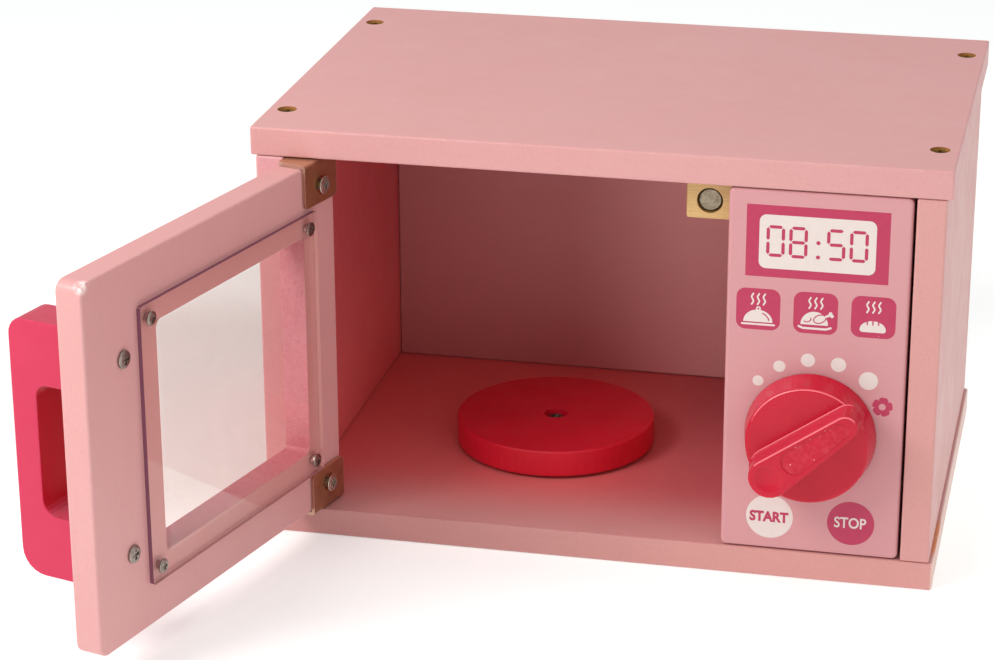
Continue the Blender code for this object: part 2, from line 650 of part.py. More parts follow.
def bracket_mesh():
    """One bracket for the door's top edge, with the bend's start at the origin's height."""
    mesh = bpy.data.meshes.new("hinge_bracket")
    rows = bracket_rows()
    points = [(side * half, -out, up) for half, out, up in rows for side in (-1, 1)]
    faces = [(2 * i, 2 * i + 1, 2 * i + 3, 2 * i + 2) for i in range(len(rows) - 1)]
    mesh.from_pydata(points, [], faces)
    return mesh


def build_bracket(name, hinge, frame, board, upright):
    """A hinge bracket with its screw and pin, for the door's top edge, or turned over for its foot."""
    sign = 1 if upright else -1
    edge = DOOR_TOP if upright else DOOR_FOOT
    bracket = add_object(f"hinge_bracket_{name}", bracket_mesh(), BRONZED_STEEL, hinge)
    bracket.location = (BRACKET_X, INNER_FACE + SEAM, edge + sign * (SEAM - BRACKET_BEND_RADIUS))
    bracket.scale.z = sign
    bake_scale(bracket)
    sheet = bracket.modifiers.new("sheet", "SOLIDIFY")
    sheet.thickness = BRACKET_SHEET
    sheet.offset = -1
    seat = INNER_FACE + SEAM + BRACKET_SHEET
    place = (BRACKET_X, seat + BRACKET_SCREW_STANDOFF, edge - sign * BRACKET_SCREW_FROM_END)
    mesh = screw_mesh(f"bracket_screw_{name}", BRACKET_SCREW)
    put_screw(f"bracket_screw_{name}", BRACKET_SCREW, mesh, STEEL, place, FACING_BACK, (bracket, frame),
              CUT_OVERRUN, hinge)
    inner = BRACKET_SCREW.shank_radius + FIT_GAP
    slope = (BRACKET_DISH_RADIUS - inner) / BRACKET_SHEET
    profile = [(0, CUT_OVERRUN), (BRACKET_DISH_RADIUS + slope * CUT_OVERRUN, CUT_OVERRUN),
               (inner, -BRACKET_SHEET), (0, -BRACKET_SHEET)]
    dish = as_cutter(turned(f"dish_{name}", profile, parent=hinge))
    dish.location = (BRACKET_X, seat, place[2])
    dish.rotation_euler = FACING_BACK
    join_shape(bracket, dish)
    build_pin(name, hinge, frame, bracket, board, sign, edge)


def bake_scale(thing):
    """Applies a mirroring scale to the mesh and turns its faces the right way out again."""
    thing.data.transform(Matrix.Diagonal((*thing.scale, 1.0)))
    if thing.scale.x * thing.scale.y * thing.scale.z < 0:
        thing.data.flip_normals()
    thing.scale = (1, 1, 1)


def build_pin(name, hinge, frame, bracket, board, sign, edge):
    """The hinge pin: fixed in the flange and the door's edge, it turns in the cabinet board."""
    board_face = CEILING if sign > 0 else FLOOR
    outer = abs(board_face - edge) + PIN_IN_BOARD
    chamfer = PIN_RADIUS / 4
    profile = [(0, outer), (PIN_RADIUS - chamfer, outer), (PIN_RADIUS, outer - chamfer),
               (PIN_RADIUS, -PIN_IN_DOOR), (0, -PIN_IN_DOOR)]
    pin = turned(f"hinge_pin_{name}", profile, STEEL, hinge)
    turn = FACING_UP if sign > 0 else FACING_DOWN
    pin.location = (0, 0, edge)
    pin.rotation_euler = turn
    bore(f"pin_hole_{name}", PIN_RADIUS + FIT_GAP, outer + FIT_GAP, -PIN_IN_DOOR - FIT_GAP,
         (bracket, frame, board), (0, 0, edge), turn, hinge)


def build_strike(hinge, frame):
    """A steel disc let into the door's inner face, where the closed door meets the magnet."""
    place = (CATCH_X - HINGE_X, INNER_FACE, MAGNET_Z)
    strike = cylinder("door_strike", STRIKE_RADIUS, 0, -STRIKE_THICKNESS, STEEL, hinge)
    strike.location = place
    strike.rotation_euler = FACING_BACK
    bore("strike_pocket", STRIKE_RADIUS + SEAM, CUT_OVERRUN, -STRIKE_THICKNESS - SEAM, (frame,),
         place, FACING_BACK, hinge)


def build_turntable(bottom):
    """The disc, its screw and the washer that it turns on."""
    spindle = add_empty("turntable_axis", (TURNTABLE_X, TURNTABLE_Y, TURNTABLE_FOOT))
    radius, height, edge = TURNTABLE_RADIUS, TURNTABLE_THICKNESS, TURNTABLE_EDGE_RADIUS
    hole = TURNTABLE_SCREW.shank_radius + FIT_GAP
    mouth = TURNTABLE_SCREW.head_radius + TURNTABLE_BORE_GAP
    seat = height - TURNTABLE_BORE_DEPTH
    upper = corner_arc((radius - edge, height - edge), edge, math.pi / 2, -math.pi / 2, 3)
    lower = corner_arc((radius - edge, edge), edge, 0, -math.pi / 2, 3)
    profile = [(mouth, height)] + upper + lower + [(hole, 0), (hole, seat), (mouth, seat)]
    turned_ring("turntable", profile, ROSE_PAINT, spindle, LARGE_ROUND_STEPS)
    put_screw("turntable_screw", TURNTABLE_SCREW, screw_mesh("turntable_screw", TURNTABLE_SCREW), STEEL,
              (TURNTABLE_X, TURNTABLE_Y, TURNTABLE_SEAT + SEAM), FACING_UP, (bottom,), 0)
    washer = turned_ring("turntable_washer", [(hole, WASHER_THICKNESS), (WASHER_RADIUS, WASHER_THICKNESS),
                                              (WASHER_RADIUS, 0), (hole, 0)], STEEL)
    washer.location = (TURNTABLE_X, TURNTABLE_Y, WASHER_FOOT)


def bar_radius(x):
    """The radius of the circle about a place on the bar's middle line that touches both its sides."""
    share = (x - BAR_WIDE_X) / (BAR_NARROW_X - BAR_WIDE_X)
    return BAR_WIDE_RADIUS + share * (BAR_NARROW_RADIUS - BAR_WIDE_RADIUS)


def bar_outline(grow, inset=BAR_INSET, wide_x=BAR_WIDE_X, narrow_x=BAR_NARROW_X):
    """The grip bar's outline along X: a wide and a narrow round end joined by their tangents."""
    wide, narrow = bar_radius(wide_x) + grow, bar_radius(narrow_x) + grow
    upper = math.pi / 2 - math.asin((wide - narrow) / (narrow_x - wide_x))
    points = corner_arc((narrow_x, 0), narrow, -upper, 2 * upper, BAR_END_STEPS)
    points += corner_arc((wide_x, 0), wide, upper, 2 * math.pi - 2 * upper, BAR_END_STEPS)
    limit = KNOB_SKIRT_RADIUS - inset
    shares = [min(1.0, limit / math.hypot(x, y)) for x, y in points]
    return [(x * share, y * share) for (x, y), share in zip(points, shares)]


def lofted(name, rings, parent=None):
    """A solid through rings of equally many points, each a (height, outline) pair, from the foot up."""
    shape = bmesh.new()
    loops = [[shape.verts.new((x, y, height)) for x, y in outline] for height, outline in rings]
    count = len(loops[0])
    for low, high in zip(loops, loops[1:]):
        for i in range(count):
            j = (i + 1) % count
            shape.faces.new((low[i], low[j], high[j], high[i]))
    shape.faces.new(list(reversed(loops[0])))
    shape.faces.new(loops[-1])
    mesh = bpy.data.meshes.new(name)
    shape.to_mesh(mesh)
    shape.free()
    return add_object(name, mesh, None, parent)


def bar_rings():
    """The grip bar from inside the disc up to its face: fillet, draft and a rounded top edge."""
    top = KNOB_DISC_HEIGHT + BAR_HEIGHT
    rings = [(KNOB_WALL, bar_outline(BAR_DRAFT, BAR_FOOT_INSET))]
    for degrees in (15, 45, 90):
        angle = math.radians(degrees)
        rise = KNOB_DISC_HEIGHT + BAR_FILLET * (1 - math.cos(angle))
        rings.append((rise, bar_outline(BAR_DRAFT + BAR_FILLET * (1 - math.sin(angle)))))
    for degrees in (0, 45, 90):
        angle = math.radians(degrees)
        rise = top - BAR_EDGE_RADIUS * (1 - math.sin(angle))
        rings.append((rise, bar_outline(-BAR_EDGE_RADIUS * (1 - math.cos(angle)))))
    return rings


def knob_blank_profile():
    """The disc's outside, solid."""
    face, rim = KNOB_DISC_HEIGHT, KNOB_RIM_RADIUS
    edge = corner_arc((KNOB_FACE_RADIUS - rim, face - rim), rim, math.pi / 2, -math.pi / 2, 4)
    return [(0, face)] + edge + [(KNOB_SKIRT_RADIUS, 0), (0, 0)]


def knob_hollow_profile():
    """The ring-shaped hollow behind the disc, round its hub."""
    top = KNOB_DISC_HEIGHT - KNOB_WALL
    mouth = KNOB_SKIRT_RADIUS - KNOB_WALL
    return [(KNOB_HUB_RADIUS, top), (KNOB_FACE_RADIUS - KNOB_WALL, top), (mouth, 0),
            (mouth, -CUT_OVERRUN), (KNOB_HUB_RADIUS, -CUT_OVERRUN)]


def dimple_profile(top):
    """The hollow for a fingertip: a shallow cap of a ball, open upwards."""
    ball = (DIMPLE_RADIUS ** 2 + DIMPLE_DEPTH ** 2) / (2 * DIMPLE_DEPTH)
    centre = top + ball - DIMPLE_DEPTH
    rim = math.acos((centre - top - CUT_OVERRUN) / ball)
    cap = corner_arc((0, centre), ball, rim - math.pi / 2, -rim, 5)
    return [(0, top + CUT_OVERRUN)] + cap[:-1] + [(0, centre - ball)]


def build_knob_body(pointer):
    """The moulded knob: disc and bar as one piece, with the bar's recess and thumb dimple."""
    top = KNOB_DISC_HEIGHT + BAR_HEIGHT
    bar = as_cutter(lofted("grip_bar", bar_rings(), pointer))
    outline = bar_outline(-RECESS_WALL, wide_x=RECESS_WIDE_X, narrow_x=RECESS_NARROW_X)
    rings = [(top - RECESS_DEPTH, outline), (top + CUT_OVERRUN, outline)]
    join_shape(bar, as_cutter(lofted("bar_recess", rings, pointer)))
    dimple = as_cutter(turned("thumb_dimple", dimple_profile(top), parent=pointer, steps=BAR_END_STEPS * 2))
    dimple.location.x = BAR_WIDE_X
    join_shape(bar, dimple)
    knob = turned("knob", knob_blank_profile(), ROSE_PLASTIC, pointer, KNOB_STEPS)
    join_shape(knob, bar, "UNION")
    hollow = turned_ring("knob_hollow", knob_hollow_profile(), parent=pointer, steps=KNOB_STEPS)
    join_shape(knob, as_cutter(hollow))
    return knob


def build_knob(panel):
    """The knob on the control panel, and the screw and washer that hold it from behind."""
    axis = add_empty("knob_axis", (KNOB_X, PANEL_FACE - RUNNING_GAP, KNOB_Z), FACING_FRONT)
    pointer = add_empty("knob_pointer", (0, 0, 0), (0, 0, KNOB_TURN))
    pointer.parent = axis
    knob = build_knob_body(pointer)
    washer_face = PANEL_THICKNESS + RUNNING_GAP + SEAM
    hole = KNOB_SCREW.shank_radius + FIT_GAP
    washer = turned_ring("knob_washer", [(hole, WASHER_THICKNESS), (KNOB_WASHER_RADIUS, WASHER_THICKNESS),
                                         (KNOB_WASHER_RADIUS, 0), (hole, 0)], STEEL, axis)
    washer.location.z = -washer_face - WASHER_THICKNESS
    put_screw("knob_screw", KNOB_SCREW, screw_mesh("knob_screw", KNOB_SCREW), STEEL,
              (0, 0, washer.location.z - SEAM), FACING_DOWN, (panel, knob), 0, axis)


def build_door(top, bottom):
    hinge = add_empty("door_hinge_axis", (HINGE_X, HINGE_Y, 0), (0, 0, -DOOR_OPEN_ANGLE))
    frame = build_door_frame(hinge)
    build_pane(hinge, frame)
    build_handle(hinge, frame)
    build_bracket("top", hinge, frame, top, True)
    build_bracket("bottom", hinge, frame, bottom, False)
    build_strike(hinge, frame)


def build():
    top, bottom, left, right = build_boards()
    build_corner_screws(top, bottom, left, right)
    panel = build_control_panel()
    build_catch()
    build_door(top, bottom)
    build_turntable(bottom)
    build_knob(panel)
    even_shading()


build()
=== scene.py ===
"""Looks of the wooden toy microwave: paints, metals, plastics, the panel's prints, floor and light.

Lengths are metres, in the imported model's frame: X to the right, Y to the back, Z up.
"""
import math

import bmesh
import bpy
from mathutils import Matrix, Vector


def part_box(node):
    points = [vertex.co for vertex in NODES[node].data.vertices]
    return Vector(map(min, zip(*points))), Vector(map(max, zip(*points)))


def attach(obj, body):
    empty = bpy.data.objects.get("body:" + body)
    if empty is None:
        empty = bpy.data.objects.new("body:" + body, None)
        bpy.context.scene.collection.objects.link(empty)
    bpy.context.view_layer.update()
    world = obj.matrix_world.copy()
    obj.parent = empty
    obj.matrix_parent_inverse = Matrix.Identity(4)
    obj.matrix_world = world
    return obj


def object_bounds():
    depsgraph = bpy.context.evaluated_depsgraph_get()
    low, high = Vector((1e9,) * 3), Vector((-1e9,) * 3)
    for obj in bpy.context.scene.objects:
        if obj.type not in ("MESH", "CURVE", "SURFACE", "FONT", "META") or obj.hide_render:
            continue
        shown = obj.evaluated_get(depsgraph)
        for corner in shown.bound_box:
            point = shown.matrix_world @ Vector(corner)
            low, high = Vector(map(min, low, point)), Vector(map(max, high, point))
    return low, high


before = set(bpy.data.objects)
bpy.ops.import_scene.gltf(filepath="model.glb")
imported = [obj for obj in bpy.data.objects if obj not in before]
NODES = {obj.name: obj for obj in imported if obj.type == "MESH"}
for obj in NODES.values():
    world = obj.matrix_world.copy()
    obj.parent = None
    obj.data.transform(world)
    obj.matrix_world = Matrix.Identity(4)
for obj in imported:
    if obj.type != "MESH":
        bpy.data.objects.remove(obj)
CAD_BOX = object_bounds()
MM = 0.001

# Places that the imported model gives
PANEL_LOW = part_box("control_panel")[0]
KNOB_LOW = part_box("knob")[0]
TOP_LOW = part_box("top_board")[0]
REAR_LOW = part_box("back_panel")[0]
BOTTOM_LOW, BOTTOM_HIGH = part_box("bottom_board")
LEFT_LOW, LEFT_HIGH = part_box("side_panel_left")
DOOR_LOW, DOOR_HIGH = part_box("door_frame")
SCREW_LOW, SCREW_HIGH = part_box("top_screw_right_front")
MAGNET_LOW, MAGNET_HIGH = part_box("catch_magnet")
STRIKE_LOW, STRIKE_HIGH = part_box("door_strike")
DOOR_FOOT, DOOR_TOP = DOOR_LOW.z, DOOR_HIGH.z
CAVITY_LEFT, CAVITY_RIGHT = LEFT_HIGH.x, PANEL_LOW.x
CAVITY_FLOOR, CAVITY_CEILING = BOTTOM_HIGH.z, TOP_LOW.z
CAVITY_FRONT, CAVITY_BACK = BOTTOM_LOW.y, REAR_LOW.y

# The knob's face on its axis, the slant of its grip bar, and the thumb dimple near the bar's wide end
KNOB_MIDDLE = Vector((91.7 * MM, KNOB_LOW.y, 65.6 * MM))
KNOB_TURN = math.radians(39.5)
DIMPLE_FROM_AXIS = 17.6 * MM
THUMB_DIMPLE = KNOB_MIDDLE - DIMPLE_FROM_AXIS * Vector((math.cos(KNOB_TURN), 0, math.sin(KNOB_TURN)))

# The open door: along it from the hinge, out of its outer face, and places from its hinge-side edge
DOOR_TURN = math.radians(105.197)
DOOR_ALONG = Vector((math.cos(DOOR_TURN), -math.sin(DOOR_TURN), 0))
DOOR_OUT = Vector((-math.sin(DOOR_TURN), -math.cos(DOOR_TURN), 0))
HINGE_EDGE = Vector((-113.87, -83.85, 0)) * MM     # the hinge-side corner of its inner face
WINDOW_ALONG = (24.6 * MM, 133.3 * MM)             # the window, from that edge and from the ground
WINDOW_UP = (41.9 * MM, 139.1 * MM)
PANE_HINGE_SIDE = 60 * MM                          # the pane's hinge-side end lies nearer than this
PANE_END = 146.1 * MM                              # the pane's free-side end
DOOR_REACH = 179 * MM                              # the door's free side
DOOR_CORNER = HINGE_EDGE + DOOR_REACH * DOOR_ALONG + Vector((0, 0, DOOR_TOP))


def srgb(red, green, blue):
    """A screen colour, 0 to 255, as linear light."""
    shares = [value / 255 for value in (red, green, blue)]
    return tuple(s / 12.92 if s <= 0.04045 else ((s + 0.055) / 1.055) ** 2.4 for s in shares) + (1.0,)


class Look:
    """One material's node tree, with short names for the nodes that it is made of."""

    def __init__(self, name):
        self.material = bpy.data.materials.new(name)
        self.material.use_nodes = True
        self.tree = self.material.node_tree
        self.tree.nodes.clear()
        self.coordinates = self.node("ShaderNodeTexCoord")
        self.place = self.coordinates.outputs["Object"]
        axes = self.node("ShaderNodeSeparateXYZ", Vector=self.place).outputs
        self.x, self.y, self.z = axes["X"], axes["Y"], axes["Z"]

    def feed(self, socket, value):
        if isinstance(value, bpy.types.NodeSocket):
            self.tree.links.new(value, socket)
        else:
            socket.default_value = value

    def node(self, kind, settings=None, **sockets):
        made = self.tree.nodes.new(kind)
        for key, value in (settings or {}).items():
            setattr(made, key, value)
        for key, value in sockets.items():
            self.feed(made.inputs[key.replace("_", " ")], value)
        return made

    def math(self, operation, first, second=0.0):
        made = self.node("ShaderNodeMath", {"operation": operation})
        self.feed(made.inputs[0], first)
        self.feed(made.inputs[1], second)
        return made.outputs[0]

    def product(self, *values):
        made = values[0]
        for value in values[1:]:
            made = self.math("MULTIPLY", made, value)
        return made

    def opposite(self, share):
        return self.math("SUBTRACT", 1.0, share)

    def remap(self, value, low, high, new_low=0.0, new_high=1.0, smooth=False):
        made = self.node("ShaderNodeMapRange", {"interpolation_type": "SMOOTHSTEP" if smooth else "LINEAR"},
                         Value=value, From_Min=low, From_Max=high, To_Min=new_low, To_Max=new_high)
        return made.outputs["Result"]

    def between(self, value, low, high, soft):
        """1 from low to high, falling off over soft outside them."""
        return self.product(self.remap(value, low - soft, low), self.remap(value, high + soft, high))

    def mix(self, share, first, second, blend="MIX"):
        made = self.node("ShaderNodeMix", {"data_type": "RGBA", "blend_type": blend})
        for index, value in ((0, share), (6, first), (7, second)):
            self.feed(made.inputs[index], value)
        return made.outputs[2]

    def stretched(self, scale, turn=(0, 0, 0)):
        return self.node("ShaderNodeMapping", Vector=self.place, Scale=scale, Rotation=turn).outputs[0]

    def noise(self, scale, detail=2.0, rough=0.5, where=None, warp=0.0):
        made = self.node("ShaderNodeTexNoise", Vector=where or self.place, Scale=scale, Detail=detail,
                         Roughness=rough, Distortion=warp)
        return made.outputs["Fac"]

    def specks(self, scale, size, share):
        """Round spots: one in every cell of which share are drawn, size a share of the cell."""
        cells = self.node("ShaderNodeTexVoronoi", Vector=self.place, Scale=scale)
        cell_number = self.node("ShaderNodeSeparateColor", Color=cells.outputs["Color"]).outputs[0]
        chosen = self.math("LESS_THAN", cell_number, share)
        return self.product(self.remap(cells.outputs["Distance"], size, size * 0.6), chosen)

    def measure(self, operation, first, second):
        """A vector sum whose answer is one number, such as a dot product or a distance."""
        made = self.node("ShaderNodeVectorMath", {"operation": operation})
        self.feed(made.inputs[0], first)
        self.feed(made.inputs[1], second)
        return made.outputs["Value"]

    def edges(self, radius, low=0.02, high=0.2):
        """1 along the piece's edges within a radius, 0 on its flat faces."""
        rounded_normal = self.node("ShaderNodeBevel", {"samples": 4}, Radius=radius).outputs[0]
        true_normal = self.node("ShaderNodeNewGeometry").outputs["Normal"]
        return self.remap(self.opposite(self.measure("DOT_PRODUCT", rounded_normal, true_normal)), low, high)

    def away(self, place):
        return self.measure("DISTANCE", self.place, place)

    def turned_to(self, direction):
        """The cosine between a face's normal and a direction, both in the piece's own frame."""
        return self.measure("DOT_PRODUCT", self.coordinates.outputs["Normal"], direction)

    def facing(self, direction, low=0.85, high=0.95):
        """1 where a face looks along a direction of the piece's own frame, or away from it."""
        return self.remap(self.math("ABSOLUTE", self.turned_to(direction)), low, high)

    def along_door(self):
        """How far a point of the open door lies from its hinge-side edge, along its inner face."""
        return self.math("SUBTRACT", self.measure("DOT_PRODUCT", self.place, DOOR_ALONG),
                         HINGE_EDGE.dot(DOOR_ALONG))

    def off_door(self):
        """How far a point lies outside the open door's inner face; below 0 on its inner side."""
        return self.math("SUBTRACT", self.measure("DOT_PRODUCT", self.place, DOOR_OUT),
                         HINGE_EDGE.dot(DOOR_OUT))

    def in_window(self, reach):
        """1 inside the door's window, made larger all round by a reach."""
        soft = 0.1 * MM
        first, last = WINDOW_ALONG
        foot, top = WINDOW_UP
        return self.product(self.between(self.along_door(), first - reach, last + reach, soft),
                            self.between(self.z, foot - reach, top + reach, soft))

    def bump(self, height, strength, distance, normal=None):
        made = self.node("ShaderNodeBump", Height=height, Strength=strength, Distance=distance)
        if normal is not None:
            self.feed(made.inputs["Normal"], normal)
        return made.outputs[0]

    def shader(self, **sockets):
        return self.node("ShaderNodeBsdfPrincipled", None, **sockets).outputs[0]

    def blend(self, share, first, second):
        """Two shaders in one: the first where share is 0, the second where it is 1."""
        made = self.node("ShaderNodeMixShader", Fac=share)
        self.feed(made.inputs[1], first)
        self.feed(made.inputs[2], second)
        return made.outputs[0]

    def finish(self, surface):
        output = self.node("ShaderNodeOutputMaterial")
        self.tree.links.new(surface, output.inputs["Surface"])
        return self.material


UP, ACROSS, DEEP = (0, 0, 1), (1, 0, 0), (0, 1, 0)
AHEAD = (0, -1, 0)

# The pink paint
PINKS = (srgb(212, 155, 153), srgb(209, 151, 149))         # its two tones, and those of boards that differ
# the left panel's tones are lighter: painted light
LEFT_LIT_PINKS = (srgb(220, 161, 164), srgb(217, 157, 160))
RIGHT_PINKS = (srgb(211, 152, 147), srgb(208, 148, 143))
PANEL_PINKS = (srgb(206, 146, 149), srgb(203, 142, 146))
PINK_RUB_AND_HIGHLIGHT = srgb(236, 192, 187)
# a painted highlight on the door's corner
CORNER_HIGHLIGHT_PINK = srgb(255, 236, 232)
# the window's sawn edges: lighter pink, partly painted light, and a deep tone for their flock and painted
# shade
REVEAL_PINK = srgb(238, 162, 172)
REVEAL_FLOCK_AND_SHADE = srgb(196, 88, 104)
UNDERCOAT = srgb(176, 98, 104)
DUST = srgb(120, 84, 82)
HOLE_WOODS = (srgb(122, 94, 48), srgb(200, 130, 66))
SCRAPED_WOODS = (srgb(226, 150, 96), srgb(206, 118, 78))
PALE_END = srgb(240, 214, 198)
# painted light on the left panel's front end
FRONT_END_LIGHT = (1.16, 1.15, 1.15, 1.0)
RUB_AND_HIGHLIGHT_WIDTH = 0.9 * MM                     # how wide an edge is worn and lightened with a painted highlight

# Painted shade in the cavity: tones that multiply its paint, darker and redder, and on the back wall lighter
# towards its right, which is painted light. A fade has its axis, its two ends in millimetres and their tones
CAVITY_SHADE_TONE = (1.28, 0.40, 0.43, 1.0)
FLOOR_SHADE_FADE = ("x", -30, 50, (1.32, 0.47, 0.51, 1.0), (0.82, 0.25, 0.34, 1.0))
LEFT_WALL_SHADE_FADE = ("z", 20, 120, (1.36, 0.56, 0.56, 1.0), (0.92, 0.23, 0.28, 1.0))
REAR_SHADE_AND_LIGHT_FADE = ("x", -50, 25, (0.85, 0.68, 0.68, 1.0), (1.38, 1.68, 1.70, 1.0))
FRONT_SHADES = ((0.78, 0.70, 0.68, 1.0), (0.98, 0.94, 0.89, 1.0))    # painted shade on the bottom board's front, at its left and at its right

# Where the pink paint's marks, its painted shade and its painted light lie
WINDOW_RIM = 0.3 * MM                          # how far the sawn look reaches past the window's edges
UNSHADED_STRETCH = (58 * MM, 124 * MM)            # the heights between which the window's edge has no painted shade
END_SHADE_FADE = 14 * MM
HIGHLIGHT_REACH, HIGHLIGHT_CORE = 5 * MM, 2 * MM         # of the painted highlight, round the door's corner
CAVITY_SHADE_DEPTHS = (1 * MM, 60 * MM)                # behind its mouth: where its painted shade begins and is full
SKIN = (1.0 * MM, 0.5 * MM)                    # behind a face: where its own tone is gone and is full
FRONT_END_LIGHT_STRETCH = (165 * MM, 120 * MM)            # heights on the left panel's front end, over which its painted light fades in
HOLE_RIM = (4.22 * MM, 4.14 * MM)              # from a screw's axis
SHADE_STRETCH = (-90 * MM, 100 * MM)           # along the bottom board's front, over which its painted shade fades
END_BAND = (0.9 * MM, 0.3 * MM)                # before its right end
SCRAPE_ALONG, SCRAPE_SOFT = (-84 * MM, -60 * MM), 9 * MM
SCRAPE_ACROSS = (3.2 * MM, 3.0 * MM)           # before its right end
SCRAPE_HEIGHT = (11.0 * MM, 11.4 * MM)


def sawn_window(look, colour, sawn):
    """The door's sawn window edges: a deeper, lighter pink that is partly painted light, rough as flock, and
    darker towards both ends as painted shade. Gives the colour and where those edges are."""
    coarse = look.product(sawn, look.in_window(WINDOW_RIM))
    # lighter pink, partly painted light
    colour = look.mix(coarse, colour, REVEAL_PINK)
    # painted shade towards the window edge's top and foot
    shaded_ends = look.opposite(look.between(look.z, *UNSHADED_STRETCH, END_SHADE_FADE))
    flock = look.math("ADD", look.remap(look.noise(1700.0, 2.0, 0.8), 0.46, 0.6, 0.0, 0.7),
                      look.remap(look.noise(330.0, 3.0, 0.7), 0.42, 0.62, 0.0, 0.4))
    shade = look.remap(look.math("ADD", flock, shaded_ends), 0.0, 2.0, 0.0, 0.85)
    return look.mix(look.product(coarse, shade), colour, REVEAL_FLOCK_AND_SHADE), coarse


def corner_highlight(look, colour):
    """A pale painted highlight at the door's upper free corner."""
    corner = look.product(look.remap(look.away(DOOR_CORNER), HIGHLIGHT_REACH, HIGHLIGHT_CORE),
                          look.remap(look.noise(420.0, 4.0, 0.7), 0.4, 0.52))
    return look.mix(look.product(corner, 0.85), colour, CORNER_HIGHLIGHT_PINK)


def cavity_shade(look, colour, share, fade):
    """Painted shade on the cavity's walls: their paint reddened and darkened for the light that passes
    between them.
    """
    inside = look.product(look.between(look.x, CAVITY_LEFT, CAVITY_RIGHT, MM),
                          look.between(look.z, CAVITY_FLOOR, CAVITY_CEILING, 0.1 * MM),
                          look.remap(look.y, *(CAVITY_FRONT + depth for depth in CAVITY_SHADE_DEPTHS), smooth=True),
                          look.remap(look.y, *(CAVITY_BACK + depth for depth in SKIN)))
    # painted shade, and on the back wall painted light towards its right
    tone = CAVITY_SHADE_TONE
    if fade:
        axis, low, high, first, second = fade
        tone = look.mix(look.remap(getattr(look, axis), low * MM, high * MM, smooth=True), first, second)
    return look.mix(look.product(inside, share), colour, tone, "MULTIPLY")


def painted_light_front_end(look, colour):
    """Painted light on the left panel's front end, paler low down, where it shows through the door's window.
    """
    front = look.product(look.remap(look.y, *(LEFT_LOW.y + depth for depth in SKIN)),
                         look.remap(look.z, *FRONT_END_LIGHT_STRETCH, smooth=True))
    return look.mix(front, colour, FRONT_END_LIGHT, "MULTIPLY")


def screw_holes(look, colour, streaks):
    """Bare wood in the countersunk holes at the board's four corners."""
    across = look.math("SUBTRACT", look.math("ABSOLUTE", look.x), (SCREW_LOW.x + SCREW_HIGH.x) / 2)
    along = look.math("SUBTRACT", look.math("ABSOLUTE", look.y), -(SCREW_LOW.y + SCREW_HIGH.y) / 2)
    squares = look.math("ADD", look.product(across, across), look.product(along, along))
    from_axis = look.math("SQRT", squares)
    return look.mix(look.remap(from_axis, *HOLE_RIM), colour, look.mix(streaks, *HOLE_WOODS))


def shaded_worn_front(look, colour, rubbed):
    """The bottom board's front edge: painted shade at its left, paler at its right end, and worn to bare
    wood there.
    """
    front = look.remap(look.y, *(CAVITY_FRONT + depth for depth in SKIN))
    # painted shade on the front's left
    shade = look.mix(look.remap(look.x, *SHADE_STRETCH, smooth=True), *FRONT_SHADES)
    colour = look.mix(front, colour, shade, "MULTIPLY")
    end = look.remap(look.x, *(BOTTOM_HIGH.x - inset for inset in END_BAND))
    colour = look.mix(look.product(end, 0.6), colour, PALE_END)
    scrape = look.product(look.between(look.y, *SCRAPE_ALONG, SCRAPE_SOFT),
                          look.remap(look.x, *(BOTTOM_HIGH.x - inset for inset in SCRAPE_ACROSS)),
                          look.remap(look.z, *SCRAPE_HEIGHT),
                          look.remap(look.noise(240.0, 4.0, 0.7), 0.3, 0.42))
    return look.mix(scrape, colour, look.mix(rubbed, *SCRAPED_WOODS))


